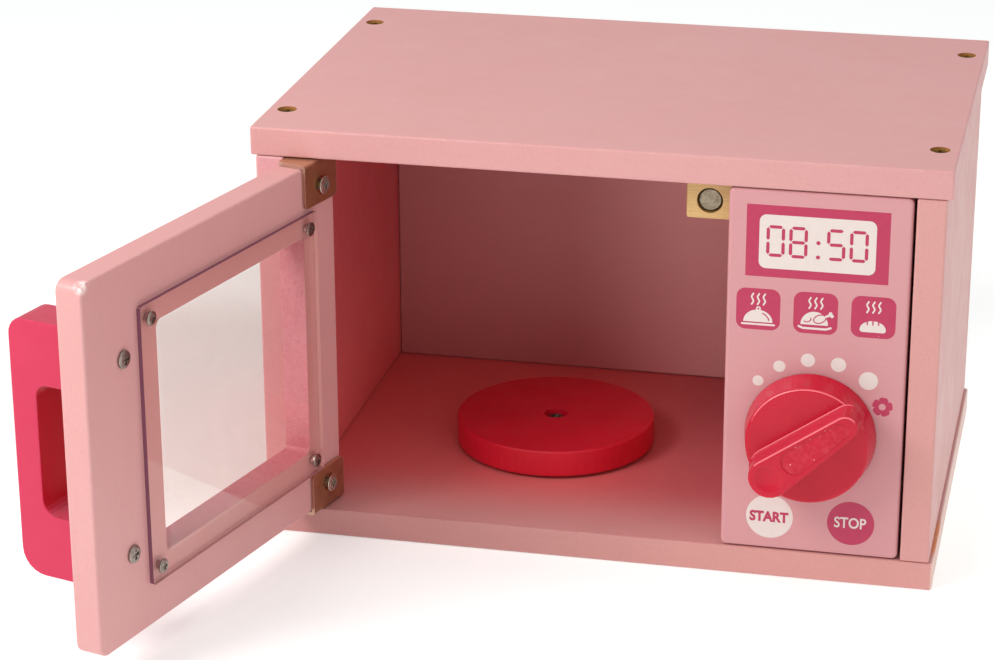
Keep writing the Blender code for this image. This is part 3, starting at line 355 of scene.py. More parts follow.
def painted_board(name, wide, grain, cavity=0.0, fade=None, tones=PINKS, wear=0.75, window=False,
                  light_front_end=False, holes=False, shade_and_worn_end=False):
    """Dusty pink sprayed paint on a board. wide is the way its wide faces look, grain the way its fibres
    run, cavity how strongly the cavity's painted shade shows on it."""
    look = Look(name)
    fibres = [6.0 if axis else 90.0 for axis in grain]
    cloud = look.noise(9.0, 3.0, 0.55)
    fine = look.noise(700.0, 3.0, 0.6)
    streaks = look.noise(7.0, 4.0, 0.6, look.stretched(fibres), 0.4)
    stipple = look.noise(1500.0, 2.0, 0.7)
    rubbed = look.noise(160.0, 3.0, 0.7)
    sawn = look.opposite(look.facing(wide))
    colour = look.mix(look.remap(cloud, 0.35, 0.7), *tones)
    for thinned, full in ((streaks, 0.75), (fine, 0.7)):
        colour = look.mix(look.product(look.remap(thinned, 0.52, full), 0.06), colour, UNDERCOAT)
    pit_share, fuzz_strength = 0.12, look.remap(sawn, 0.0, 1.0, 0.07, 0.2)
    if window:
        colour, coarse = sawn_window(look, colour, sawn)
        pit_share = look.remap(coarse, 0.0, 1.0, 0.12, 0.4)
        fuzz_strength = look.math("ADD", fuzz_strength, look.product(coarse, 0.5))
        colour = corner_highlight(look, colour)
    pits = look.product(look.remap(stipple, 0.5, 0.66), sawn)
    colour = look.mix(look.product(pits, pit_share), colour, UNDERCOAT)
    if cavity:
        colour = cavity_shade(look, colour, cavity, fade)
    if light_front_end:
        colour = painted_light_front_end(look, colour)
    if wear:
        # edges worn paler, partly a painted highlight
        rubbed_lit_edge = look.product(look.edges(RUB_AND_HIGHLIGHT_WIDTH), look.remap(rubbed, 0.42, 0.62))
        colour = look.mix(look.product(rubbed_lit_edge, wear), colour, PINK_RUB_AND_HIGHLIGHT)
    colour = look.mix(look.product(look.specks(75.0, 0.03, 0.08), 0.6), colour, DUST)
    if holes:
        colour = screw_holes(look, colour, streaks)
    if shade_and_worn_end:
        colour = shaded_worn_front(look, colour, rubbed)
    roughness = look.remap(look.noise(45.0, 4.0, 0.65), 0.3, 0.7, 0.36, 0.52)
    peel = look.bump(look.noise(330.0, 2.0, 0.5), 0.10, 0.12 * MM)
    fuzz = look.bump(stipple, fuzz_strength, 0.12 * MM, peel)
    grainy = look.bump(streaks, 0.05, 0.1 * MM, fuzz)
    return look.finish(look.shader(Base_Color=colour, Roughness=roughness, Normal=grainy, IOR=1.5))


# The rose paint: light, deep and worn tones, and painted shade and light on faces by the way they turn
HANDLE_ROSES = (srgb(202, 52, 86), srgb(194, 44, 78), srgb(238, 130, 150))
# painted shade: deep red on faces turned into the door, in the handle's slot; another tone on faces turned
# up
HANDLE_SHADE_TINTS = ((-DOOR_OUT, srgb(188, 8, 38)), (UP, srgb(184, 62, 84)))
TURNTABLE_ROSES = (srgb(222, 25, 54), srgb(205, 15, 39), srgb(238, 96, 114))
ROSE_EDGE = 0.8 * MM                     # how wide an edge is worn


def rose_paint(name, grain, colours, cloud_scale, gloss=0.5, shade_tints=()):
    """Deep rose paint on wood, with the wood's fibres just showing through it."""
    look = Look(name)
    light, deep, worn = colours
    fibres = [9.0 if axis else 130.0 for axis in grain]
    streaks = look.noise(6.0, 5.0, 0.6, look.stretched(fibres), 0.5)
    cloud = look.noise(cloud_scale, 3.0, 0.6)
    fine = look.noise(900.0, 3.0, 0.6)
    colour = look.mix(look.remap(cloud, 0.35, 0.68), light, deep)
    colour = look.mix(look.product(look.remap(streaks, 0.48, 0.75), 0.3), colour, deep)
    colour = look.mix(look.product(look.remap(fine, 0.52, 0.7), 0.18), colour, deep)
    # painted shade and light, by the way a face turns
    for direction, tint in shade_tints:
        colour = look.mix(look.remap(look.turned_to(direction), 0.5, 0.9), colour, tint)
    wear = look.product(look.edges(ROSE_EDGE), look.remap(look.noise(260.0, 3.0, 0.7), 0.4, 0.62))
    colour = look.mix(look.product(wear, 0.5), colour, worn)
    colour = look.mix(look.product(look.specks(150.0, 0.05, 0.02), 0.6), colour, worn)
    roughness = look.remap(look.noise(60.0, 4.0, 0.65), 0.3, 0.7, 0.34, 0.5)
    fuzz = look.bump(look.noise(1300.0, 2.0, 0.7), 0.22, 0.1 * MM)
    grainy = look.bump(streaks, 0.2, 0.1 * MM, fuzz)
    return look.finish(look.shader(Base_Color=colour, Roughness=roughness, Normal=grainy, IOR=1.46,
                                   Specular_IOR_Level=gloss))


# Bare pine: its rings' two tones, its pores, and a ring of painted shade round the magnet's hole
PINES = (srgb(222, 188, 126), srgb(211, 174, 109))
PINE_PORE = srgb(166, 124, 68)
PINE_HOLE_SHADE = srgb(150, 112, 52)
HOLE_SHADE_RING = (6.2 * MM, 5.5 * MM)         # from the magnet's middle


def bare_wood(name):
    """Pale pine, sanded and oiled, its fibres along X."""
    look = Look(name)
    rings = look.node("ShaderNodeTexWave", {"wave_type": "BANDS", "bands_direction": "Z"},
                      Vector=look.stretched((1.0, 4.0, 9.0), (0.1, 0.05, 0)), Scale=42.0, Distortion=5.0,
                      Detail=3.0, Detail_Scale=2.0).outputs["Fac"]
    pores = look.noise(9.0, 4.0, 0.65, look.stretched((20.0, 220.0, 220.0)))
    colour = look.mix(look.remap(rings, 0.2, 0.9), *PINES)
    colour = look.mix(look.product(look.remap(pores, 0.5, 0.75), 0.25), colour, PINE_PORE)
    # painted shade round the magnet's hole
    hole_shade = look.remap(look.away((MAGNET_LOW + MAGNET_HIGH) / 2), *HOLE_SHADE_RING)
    colour = look.mix(look.product(hole_shade, 0.5), colour, PINE_HOLE_SHADE)
    return look.finish(look.shader(Base_Color=colour, Roughness=look.remap(pores, 0.3, 0.7, 0.42, 0.6),
                                   Normal=look.bump(pores, 0.25, 0.15 * MM)))


# Metals
# painted light on the brackets' faces turned up
SHEET_TOP_LIGHT = srgb(200, 152, 122)
CUT_TONES = (srgb(172, 122, 104), srgb(184, 146, 126))     # a cut edge's core, and near the bends
BEND_REACH, BEND_SOFT = 1.9 * MM, 0.6 * MM                 # the bends, from the door's top and foot


def metal(name, light, dark, bright, shine, scratch=0.15, plating=1.0, rim_width=0.35 * MM, cut=None,
          neck=None):
    """Plated steel: cloudy tint, fine scratches, and its edges in a bright tone, partly rubbed and partly a
    painted highlight. cut is the way a bracket's sheared edges look, and with it faces turned up get painted
    light; neck the tint of a door screw below its head."""
    look = Look(name)
    cloud = look.noise(130.0, 4.0, 0.6)
    lines = look.noise(30.0, 3.0, 0.6, look.stretched((14.0, 60.0, 3.0), (0.4, 0.3, 0.6)), 0.3)
    colour = look.mix(look.remap(cloud, 0.35, 0.7), light, dark)
    if neck:
        under = look.remap(look.turned_to(DOOR_OUT), 0.12, 0.3)
        colour = look.mix(under, colour, neck)
    # edges brightened, partly rubbed and partly a painted highlight
    rubbed_lit_rim = look.product(look.edges(rim_width, 0.01, 0.12), look.remap(look.noise(900.0), 0.3, 0.5, 0.5, 1.0))
    colour = look.mix(look.product(rubbed_lit_rim, 0.8), colour, bright)
    if cut:
        # painted light on faces turned up
        colour = look.mix(look.remap(look.turned_to(UP), 0.5, 0.9), colour, SHEET_TOP_LIGHT)
        sheared = look.product(look.facing(cut), look.opposite(rubbed_lit_rim))
        bends = look.opposite(look.between(look.z, DOOR_FOOT + BEND_REACH, DOOR_TOP - BEND_REACH, BEND_SOFT))
        colour = look.mix(sheared, colour, look.mix(bends, *CUT_TONES))
    roughness = look.math("ADD", look.remap(cloud, 0.3, 0.75, *shine),
                          look.product(look.remap(lines, 0.55, 0.7), scratch))
    bump = look.bump(lines, 0.08, 0.05 * MM)
    return look.finish(look.shader(Base_Color=colour, Metallic=plating, Roughness=roughness, Normal=bump))


def magnet_look(name):
    """A sintered magnet's dull grey face, mottled and stained."""
    look = Look(name)
    grit = look.noise(1400.0, 3.0, 0.7)
    stain = look.noise(420.0, 3.0, 0.6)
    colour = look.mix(look.remap(grit, 0.35, 0.7), srgb(180, 170, 148), srgb(132, 121, 98))
    colour = look.mix(look.product(look.remap(stain, 0.5, 0.68), 0.4), colour, srgb(104, 88, 66))
    return look.finish(look.shader(Base_Color=colour, Metallic=0.5,
                                   Roughness=look.remap(grit, 0.3, 0.7, 0.4, 0.65),
                                   Normal=look.bump(grit, 0.3, 0.08 * MM)))


# The knob's plastic, and the tones of its painted glints, its painted flank highlights, its recess and chips
KNOB_ROSES = (srgb(198, 21, 50), srgb(188, 17, 45))
KNOB_GLINT = srgb(255, 150, 160)
KNOB_FLANK_HIGHLIGHT = srgb(214, 84, 104)
KNOB_SCUFF = srgb(232, 112, 122)
KNOB_CHIP = srgb(250, 190, 180)
DIMPLE_RIM = (6.2 * MM, 6.4 * MM)        # from the dimple's middle, where glints may start
DIMPLE_CLEAR = (7.0 * MM, 7.2 * MM)      # where the rough face may start
RECESS_BAND = (0.3 * MM, 0.5 * MM)       # the recess's floor, behind the knob's foremost point


def knob_plastic(name):
    """Glossy rose plastic that lets a little light in, with painted highlights along its edges and on the
    bar's flanks, scuffed and rough in the bar's recess.
    """
    look = Look(name)
    cloud = look.noise(60.0, 3.0, 0.6)
    colour = look.mix(look.remap(cloud, 0.3, 0.7), *KNOB_ROSES)
    from_dimple = look.away(THUMB_DIMPLE)
    # painted highlight lines along the bar's edges, its foot and the disc's rim
    glint = look.product(look.between(look.turned_to(AHEAD), 0.6, 0.93, 0.02),
                         look.remap(look.turned_to(UP), 0.2, 0.3), look.remap(from_dimple, *DIMPLE_RIM))
    colour = look.mix(look.product(glint, 0.6), colour, KNOB_GLINT)
    across_bar = (-math.sin(KNOB_TURN), 0, math.cos(KNOB_TURN))
    # painted highlight on the bar's flanks
    colour = look.mix(look.product(look.facing(across_bar, 0.75, 0.95), 0.35), colour, KNOB_FLANK_HIGHLIGHT)
    recess = look.between(look.y, *(KNOB_LOW.y + depth for depth in RECESS_BAND), 0.08 * MM)
    rough_part = look.product(recess, look.facing(DEEP, 0.9, 0.98), look.remap(from_dimple, *DIMPLE_CLEAR))
    scuffs = look.remap(look.noise(330.0, 4.0, 0.7, None, 0.6), 0.45, 0.7)
    colour = look.mix(look.product(rough_part, scuffs, 0.22), colour, KNOB_SCUFF)
    colour = look.mix(look.product(rough_part, look.specks(520.0, 0.24, 0.09)), colour, KNOB_CHIP)
    roughness = look.math("ADD", look.remap(look.noise(90.0, 4.0, 0.6), 0.3, 0.7, 0.2, 0.3),
                          look.product(rough_part, 0.2))
    grit = look.bump(look.noise(900.0, 4.0, 0.75), look.remap(rough_part, 0.0, 1.0, 0.03, 0.14), 0.15 * MM)
    return look.finish(look.shader(Base_Color=colour, Roughness=roughness, Normal=grit,
                                   Subsurface_Weight=0.15, Subsurface_Radius=(1.0, 0.25, 0.2),
                                   Subsurface_Scale=2.5 * MM, Specular_IOR_Level=0.3))


# The window's clear sheet
ACRYLIC_IOR = 1.49
CLEAR_TINT = srgb(254, 251, 250)
GLOSS_TINT = srgb(255, 252, 250)
HAZE_TINT = srgb(226, 200, 194)
FILM_AND_SHADE_TINTS = (srgb(231, 225, 222), srgb(224, 219, 216))    # the tint of its film of dust and painted shade, from low to high
FILM_HALF = 55 * MM                                        # from the pane's middle up and down
FILM_DEPTH = (-1.0 * MM, -0.8 * MM)                        # from the door's inner face, within the sheet
PURPLE_EDGES = (srgb(142, 86, 106), srgb(106, 60, 84))
PLAIN_EDGES = (srgb(186, 132, 132), srgb(230, 176, 172))   # at the foot, darker as partly painted shade, and at the hinge side
EDGE_BAND = (0.4 * MM, 0.3 * MM)                           # how near its end an edge is purple


def acrylic(name, out, low, high):
    """A clear sheet: it shows what is behind it, mirrors at a slant, and is smudged and scratched. Where it
    spans the window its outer face is tinted, a film of dust and painted shade for what shows through it.
    Its sawn edges are dark purple at the top and free side."""
    look = Look(name)
    middle = (low + high) / 2
    smudge = look.noise(26.0, 5.0, 0.65, warp=0.8)
    hairs = look.noise(20.0, 2.0, 0.5, look.stretched((9.0, 9.0, 60.0), (0.5, 0.9, 0.2)), 0.2)
    over_window = look.in_window(0.0)
    leaving = look.node("ShaderNodeNewGeometry").outputs["Backfacing"]
    bending = look.remap(leaving, 0.0, 1.0, ACRYLIC_IOR, 1 / ACRYLIC_IOR)
    fresnel = look.product(look.node("ShaderNodeFresnel", IOR=bending).outputs[0],
                           look.remap(over_window, 0.0, 1.0, 0.4, 1.0))
    film = look.mix(look.remap(look.z, middle.z - FILM_HALF, middle.z + FILM_HALF), *FILM_AND_SHADE_TINTS)
    # the tint over the window on the outer face: a film of dust and painted shade
    outside = look.product(over_window, look.remap(look.off_door(), *FILM_DEPTH))
    clear = look.node("ShaderNodeBsdfTransparent", Color=look.mix(outside, CLEAR_TINT, film)).outputs[0]
    gloss = look.node("ShaderNodeBsdfGlossy", Color=GLOSS_TINT,
                      Roughness=look.remap(smudge, 0.4, 0.7, 0.02, 0.07)).outputs[0]
    haze = look.node("ShaderNodeBsdfDiffuse", Color=HAZE_TINT).outputs[0]
    haze_share = look.math("ADD", look.remap(smudge, 0.42, 0.75, 0.008, 0.04),
                           look.product(look.remap(hairs, 0.68, 0.73), 0.08))
    face = look.blend(haze_share, look.blend(fresnel, clear, gloss), haze)
    saw = look.noise(1600.0, 2.0, 0.6)
    dark_edge = look.math("MAXIMUM", look.remap(look.z, *(high.z - inset for inset in EDGE_BAND)),
                          look.remap(look.along_door(), *(PANE_END - inset for inset in EDGE_BAND)))
    hinge_side = look.product(look.facing(DOOR_ALONG),
                              look.remap(look.along_door(), PANE_HINGE_SIDE + MM, PANE_HINGE_SIDE))
    edge_colour = look.mix(dark_edge, look.mix(hinge_side, *PLAIN_EDGES), look.mix(saw, *PURPLE_EDGES))
    edge = look.shader(Base_Color=edge_colour, Roughness=0.35, Normal=look.bump(saw, 0.2, 0.05 * MM))
    return look.finish(look.blend(look.facing(out, 0.5, 0.6), edge, face))


def ink(name, colour, thin, worn):
    """Screen-printed ink over the paint: slightly uneven, with the odd missed speck."""
    look = Look(name)
    film = look.noise(420.0, 4.0, 0.65)
    made = look.mix(look.product(look.remap(film, 0.45, 0.75), 0.45), colour, thin)
    made = look.mix(look.product(look.specks(297.0, 0.10, 0.03), 0.8), made, worn)
    return look.finish(look.shader(Base_Color=made, Roughness=look.remap(film, 0.3, 0.7, 0.34, 0.48),
                                   Normal=look.bump(film, 0.06, 0.05 * MM)))


# Each node's material
LOOKS = {
    "top_board": painted_board("pink_top_board", UP, ACROSS, 0.8, holes=True),
    "bottom_board": painted_board("pink_bottom_board", UP, ACROSS, 0.8, FLOOR_SHADE_FADE, holes=True,
                                  shade_and_worn_end=True),
    "side_panel_left": painted_board("pink_left_side", ACROSS, DEEP, 0.85, LEFT_WALL_SHADE_FADE, LEFT_LIT_PINKS,
                                     light_front_end=True),
    "side_panel_right": painted_board("pink_right_side", ACROSS, DEEP, tones=RIGHT_PINKS),
    "back_panel": painted_board("pink_back", DEEP, ACROSS, 1.0, REAR_SHADE_AND_LIGHT_FADE),
    "divider_panel": painted_board("pink_divider", ACROSS, DEEP, 0.8),
    "control_panel": painted_board("pink_control_panel", DEEP, ACROSS, tones=PANEL_PINKS),
    "door_frame": painted_board("pink_door", DOOR_OUT, UP, window=True),
    "door_strike": painted_board("pink_strike", DOOR_OUT, UP, wear=0.0),
    "door_handle": rose_paint("rose_handle", UP, HANDLE_ROSES, 14.0, 0.3, HANDLE_SHADE_TINTS),
    "turntable": rose_paint("rose_turntable", ACROSS, TURNTABLE_ROSES, 17.0),
    "catch_block": bare_wood("pine_catch"),
    "catch_magnet": magnet_look("magnet_face"),
    "knob": knob_plastic("rose_plastic_knob"),
}
STEEL = metal("zinc_screws", srgb(160, 150, 142), srgb(112, 100, 92), srgb(224, 214, 204), (0.26, 0.42))
BRASS = metal("brassed_screws", srgb(168, 136, 66), srgb(128, 100, 44), srgb(196, 166, 96), (0.3, 0.5), 0.25)
BRONZE = metal("bronzed_brackets", srgb(172, 122, 92), srgb(152, 104, 76), srgb(244, 232, 222), (0.3, 0.42),
               0.05, 0.7, cut=DOOR_ALONG)
BRACKET_SCREW = metal("zinc_bracket_screws", srgb(190, 176, 162), srgb(140, 124, 110), srgb(255, 252, 246),
                      (0.16, 0.3), plating=0.8, rim_width=0.6 * MM, neck=srgb(250, 230, 148))
for node_name, thing in NODES.items():
    if node_name in LOOKS:
        made = LOOKS[node_name]
    elif node_name == "window_pane":
        made = acrylic("clear_pane", DOOR_OUT, *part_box(node_name))
    elif node_name.startswith(("top_screw", "bottom_screw")):
        made = BRASS
    elif node_name.startswith("hinge_bracket"):
        made = BRONZE
    elif node_name.startswith("bracket_screw"):
        made = BRACKET_SCREW
    else:
        made = STEEL
    thing.data.materials.clear()
    thing.data.materials.append(made)

# Prints on the control panel: points are millimetres, x from the cabinet's middle and z from the ground
MAGENTA = ink("magenta_ink", srgb(181, 42, 82), srgb(173, 36, 76), srgb(226, 160, 168))
WHITE = ink("white_ink", srgb(221, 208, 202), srgb(214, 200, 194), srgb(206, 150, 150))
PRINT_ROOT = 0.02 * MM     # how far a print's film goes into the panel's paint
FILM = 0.035 * MM          # one film of ink
WELD = 1e-6                # points nearer than this are one


def arc(centre, radii, start, end, steps):
    """Points of an ellipse's arc, its angles in degrees."""
    angles = [math.radians(start + (end - start) * step / steps) for step in range(steps + 1)]
    return [(centre[0] + radii[0] * math.cos(a), centre[1] + radii[1] * math.sin(a)) for a in angles]


def disc(centre, radius, steps=40):
    return arc(centre, (radius, radius), 0, 360, steps)[:-1]


def moved(points, centre):
    """Points that are given from a centre."""
    return [(centre[0] + x, centre[1] + z) for x, z in points]


def tilted(points, centre, angle):
    """Points turned about a centre by an angle in degrees."""
    turn = Matrix.Rotation(math.radians(angle), 2)
    return [tuple(Vector(centre) + turn @ (Vector(point) - Vector(centre))) for point in points]


def rectangle(left, right, low, high):
    return [(left, low), (right, low), (right, high), (left, high)]


def rounded(left, right, low, high, radius):
    """A rectangle with round corners."""
    corners = ((right, high, 0), (left, high, 90), (left, low, 180), (right, low, 270))
    points = []
    for x, z, start in corners:
        centre = (x - radius if x == right else x + radius, z - radius if z == high else z + radius)
        points += arc(centre, (radius, radius), start, start + 90, 8)
    return points


def ribbon(points, width, cap_steps=5):
    """The outline of a line of even width with round ends."""
    half = width / 2
    way = [Vector(p) for p in points]
    sides = []
    for index, point in enumerate(way):
        ahead = way[min(index + 1, len(way) - 1)] - way[max(index - 1, 0)]
        sides.append((point, Vector((-ahead.y, ahead.x)).normalized() * half))
    left = [tuple(p + s) for p, s in sides]
    right = [tuple(p - s) for p, s in reversed(sides)]

    def cap(point, side):
        start = math.degrees(math.atan2(side.y, side.x))
        return arc(point, (half, half), start, start - 180, cap_steps)[1:-1]

    return left + cap(way[-1], sides[-1][1]) + right + cap(way[0], -sides[0][1])


def wave(x, low, high, swing, turns=1.3, steps=24):
    """Points of one wavy line of steam, from low to high."""
    made = []
    for step in range(steps + 1):
        share = step / steps
        phase = 2 * math.pi * (0.5 + turns * (share - 0.5))
        made.append((x + swing * math.sin(phase), low + (high - low) * share))
    return made


def drawn_mesh(name, drawing):
    """The mesh of a curve or text, which is then deleted."""
    drawn = bpy.data.objects.new(name + "_drawn", drawing)
    bpy.context.scene.collection.objects.link(drawn)
    bpy.context.view_layer.update()
    mesh = bpy.data.meshes.new_from_object(drawn.evaluated_get(bpy.context.evaluated_depsgraph_get()))
    bpy.data.objects.remove(drawn)
    bpy.data.curves.remove(drawing)
    mesh.name = name
    return mesh


def stand_on_panel(name, mesh, centre, thick, ink_look):
    """Stands a flat mesh up on the panel's face, its origin at a centre, as a piece of its own."""
    place = Matrix.Translation((centre[0] * MM, PANEL_LOW.y + PRINT_ROOT - thick / 2, centre[1] * MM))
    mesh.transform(place @ Matrix.Rotation(math.radians(90), 4, "X"))
    shape = bmesh.new()
    shape.from_mesh(mesh)
    bmesh.ops.remove_doubles(shape, verts=shape.verts, dist=WELD)
    bmesh.ops.recalc_face_normals(shape, faces=shape.faces)
    shape.to_mesh(mesh)
    shape.free()
    mesh.materials.clear()
    mesh.materials.append(ink_look)
    piece = bpy.data.objects.new(name, mesh)
    bpy.context.scene.collection.objects.link(piece)
    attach(piece, "cabinet")


def print_piece(name, loops, films, ink_look):
    """A print from outlines, as many films of ink thick."""
    thick = PRINT_ROOT + FILM * films
    curve = bpy.data.curves.new(name, "CURVE")
    curve.dimensions = "2D"
    curve.fill_mode = "BOTH"
    curve.extrude = thick / 2
    for loop in loops:
        spline = curve.splines.new("POLY")
        spline.points.add(len(loop) - 1)
        for point, (x, z) in zip(spline.points, loop):
            point.co = (x * MM, z * MM, 0, 1)
        spline.use_cyclic_u = True
    stand_on_panel(name, drawn_mesh(name, curve), (0, 0), thick, ink_look)


def print_word(name, word, centre, width, height, films, ink_look, weight):
    """A word, set in the built-in typeface and fitted to a width and height."""
    thick = PRINT_ROOT + FILM * films
    text = bpy.data.curves.new(name, "FONT")
    text.body = word
    text.size = 1.0
    text.offset = weight
    text.extrude = 0.5
    text.resolution_u = 4
    mesh = drawn_mesh(name, text)
    xs = [v.co.x for v in mesh.vertices]
    ys = [v.co.y for v in mesh.vertices]
    wide, tall = max(xs) - min(xs), max(ys) - min(ys)
    fit = Matrix.Diagonal((width * MM / wide, height * MM / tall, thick, 1.0))
    mesh.transform(fit @ Matrix.Translation((-(max(xs) + min(xs)) / 2, -(max(ys) + min(ys)) / 2, 0)))
    stand_on_panel(name, mesh, centre, thick, ink_look)


# The clock: a window with seven-stroke digits. Rectangles are left, right, low and high
DISPLAY = (63.0, 120.8, 133.4, 164.0)
DISPLAY_WINDOW, DISPLAY_CORNER = (68.3, 115.4, 137.1, 160.0), 2.9
DIGITS = (("0", 71.2), ("8", 80.4), ("5", 95.6), ("0", 104.8))      # each digit and its left side
DIGITS_LOW, DIGIT_WIDE, DIGIT_TALL, STROKE, STROKE_GAP = 142.2, 7.5, 13.4, 1.35, 0.3
COLON, COLON_RADIUS = ((92.2, 143.2), (92.2, 149.3)), 0.85
SEGMENTS = {"0": "abcdef", "8": "abcdefg", "5": "acdfg"}


def stroke(start, end):
    """One of a digit's strokes: a bar whose ends are cut to points."""
    a, b = Vector(start), Vector(end)
    along = (b - a).normalized()
    side = Vector((-along.y, along.x)) * STROKE / 2
    tip = along * STROKE / 2
    near, far = a + along * STROKE_GAP, b - along * STROKE_GAP
    ends = (near, near + tip + side, far - tip + side, far, far - tip - side, near + tip - side)
    return [tuple(p) for p in ends]


def digit_strokes(digit, left, low):
    inset = STROKE / 2
    right, top = left + DIGIT_WIDE - inset, low + DIGIT_TALL - inset
    left, low = left + inset, low + inset
    middle = (low + top) / 2
    ends = {"a": ((left, top), (right, top)), "b": ((right, middle), (right, top)),
            "c": ((right, low), (right, middle)), "d": ((left, low), (right, low)),
            "e": ((left, low), (left, middle)), "f": ((left, middle), (left, top)),
            "g": ((left, middle), (right, middle))}
    return [stroke(*ends[letter]) for letter in SEGMENTS[digit]]


def print_clock():
    print_piece("display_field", [rectangle(*DISPLAY)], 1, MAGENTA)
    print_piece("display_window", [rounded(*DISPLAY_WINDOW, DISPLAY_CORNER)], 2, WHITE)
    clock = []
    for digit, left in DIGITS:
        clock += digit_strokes(digit, left, DIGITS_LOW)
    for place in COLON:
        clock.append(disc(place, COLON_RADIUS, 16))
    print_piece("clock_digits", clock, 3, MAGENTA)


# Three pictures of food, each with steam. A picture's points are given from a place of its own
ICON_LEFTS = (("dish", 59.7), ("roast", 83.1), ("loaf", 106.5))
ICON_WIDE, ICON_LOW, ICON_HIGH, ICON_CORNER = 18.0, 110.3, 128.1, 3.8
STEAM_LOW, STEAM_HIGH, STEAM_SWING, STEAM_WIDE, STEAM_STEP = 121.2, 125.8, 0.36, 0.68, 2.4
DISH, COVER_RADII, SHINE_RADII = (68.7, 113.6), (6.0, 5.3), (4.6, 4.1)
SHINE, SHINE_WIDE = (0.0, 0.1), 0.5
DISH_PLATE, DISH_PLATE_THICK = ((-6.5, -1.0), (6.7, -1.0)), 0.8
RING, RING_OUTER, RING_INNER = (0.1, 5.8), 1.0, 0.42
ROAST, BODY_RADII = (91.7, 114.1), (5.6, 5.7)
ROAST_PLATE, ROAST_PLATE_THICK = ((-6.3, -0.9), (-4.7, -1.6), (4.9, -1.6), (6.7, -0.9)), 0.9
LEG, LEG_RADII, LEG_TILT = (2.2, 2.7), (2.6, 1.7), 24
WING, WING_RADII, WING_TILT = (-2.8, 2.1), (1.5, 0.9), 20
LINE_WIDE = 0.45
BONE, BONE_WIDE = ((2.5, 1.2), (4.1, 2.0)), 1.0                      # from the leg's middle
KNUCKLES, KNUCKLE_RADIUS = ((4.3, 2.6), (4.9, 1.6)), 0.75
LOAF, LOAF_RADII = (115.4, 113.8), (5.3, 3.8)
LOAF_ENDS, LOAF_END_RADIUS = ((-4.2, 0.0), (4.2, 0.0)), 1.1
CUTS, CUT_LOW, CUT_HIGH, CUT_FALL, CUT_WIDE = (-2.3, 0, 2.3), 2.2, 3.9, 0.14, 0.55


def print_fields():
    for label, left in ICON_LEFTS:
        right = left + ICON_WIDE
        middle = (left + right) / 2
        print_piece(f"{label}_field", [rounded(left, right, ICON_LOW, ICON_HIGH, ICON_CORNER)], 1, MAGENTA)
        steam = [ribbon(wave(middle + offset, STEAM_LOW, STEAM_HIGH, STEAM_SWING), STEAM_WIDE)
                 for offset in (-STEAM_STEP, 0.0, STEAM_STEP)]
        print_piece(f"{label}_steam", steam, 2, WHITE)


def print_dish():
    """A domed cover with a ring on a plate."""
    ring, shine = moved((RING, SHINE), DISH)
    print_piece("dish_cover", [arc(DISH, COVER_RADII, 0, 180, 24)], 2, WHITE)
    print_piece("dish_plate", [ribbon(moved(DISH_PLATE, DISH), DISH_PLATE_THICK)], 2, WHITE)
    print_piece("dish_loop", [disc(ring, RING_OUTER, 20), disc(ring, RING_INNER, 14)], 2.3, WHITE)
    print_piece("dish_shine", [ribbon(arc(shine, SHINE_RADII, 12, 66, 10), SHINE_WIDE)], 3, MAGENTA)


def print_roast():
    """A roast bird on a plate, its leg to the right."""
    leg_middle, wing_middle = moved((LEG, WING), ROAST)
    leg = tilted(arc(leg_middle, LEG_RADII, 20, 340, 20), leg_middle, LEG_TILT)
    wing = tilted(arc(wing_middle, WING_RADII, 190, 380, 10), wing_middle, WING_TILT)
    upper, lower = moved(KNUCKLES, leg_middle)
    print_piece("roast_body", [arc(ROAST, BODY_RADII, 0, 180, 24)], 2, WHITE)
    print_piece("roast_plate", [ribbon(moved(ROAST_PLATE, ROAST), ROAST_PLATE_THICK)], 2, WHITE)
    print_piece("roast_leg_line", [ribbon(leg, LINE_WIDE)], 3, MAGENTA)
    print_piece("roast_leg_bone", [ribbon(moved(BONE, leg_middle), BONE_WIDE)], 2.4, WHITE)
    print_piece("roast_leg_end", [disc(upper, KNUCKLE_RADIUS, 16)], 2.6, WHITE)
    print_piece("roast_leg_end_2", [disc(lower, KNUCKLE_RADIUS, 16)], 2.8, WHITE)
    print_piece("roast_wing_line", [ribbon(wing, LINE_WIDE)], 3, MAGENTA)


def print_loaf():
    """A loaf with rounded ends and three cuts."""
    left_end, right_end = moved(LOAF_ENDS, LOAF)
    end_radii = (LOAF_END_RADIUS, LOAF_END_RADIUS)
    loaf = arc(LOAF, LOAF_RADII, 8, 172, 24)
    loaf += arc(left_end, end_radii, 150, 270, 6) + arc(right_end, end_radii, 270, 390, 6)
    print_piece("loaf_body", [loaf], 2, WHITE)
    cuts = [moved([(x, CUT_HIGH - abs(x) * CUT_FALL), (x, CUT_LOW)], LOAF) for x in CUTS]
    print_piece("loaf_cuts", [ribbon(cut, CUT_WIDE) for cut in cuts], 3, MAGENTA)


# The dial's marks, each with its radius, its rosette, and the two round fields with their words
DOTS = ((69.5, 87.9, 2.25), (78.1, 94.9, 2.5), (89.7, 98.5, 2.9), (102.2, 97.5, 3.1), (114.6, 91.5, 3.9))
ROSETTE, ROSETTE_HOLE, ROSETTE_TURN = (120.7, 80.55), 1.45, 45
PETALS, PETAL_STEPS, PETAL_FOOT, PETAL_REACH = 5, 20, 2.95, 1.3
START, STOP, FIELD_RADIUS = (76.0, 27.3), (109.9, 27.3), 9.8
START_WORD, START_WIDE, START_WEIGHT = (75.8, 27.2), 16.3, 0.046
STOP_WORD, STOP_WIDE, STOP_WEIGHT = (109.7, 27.5), 13.3, 0.018
WORD_TALL = 4.9


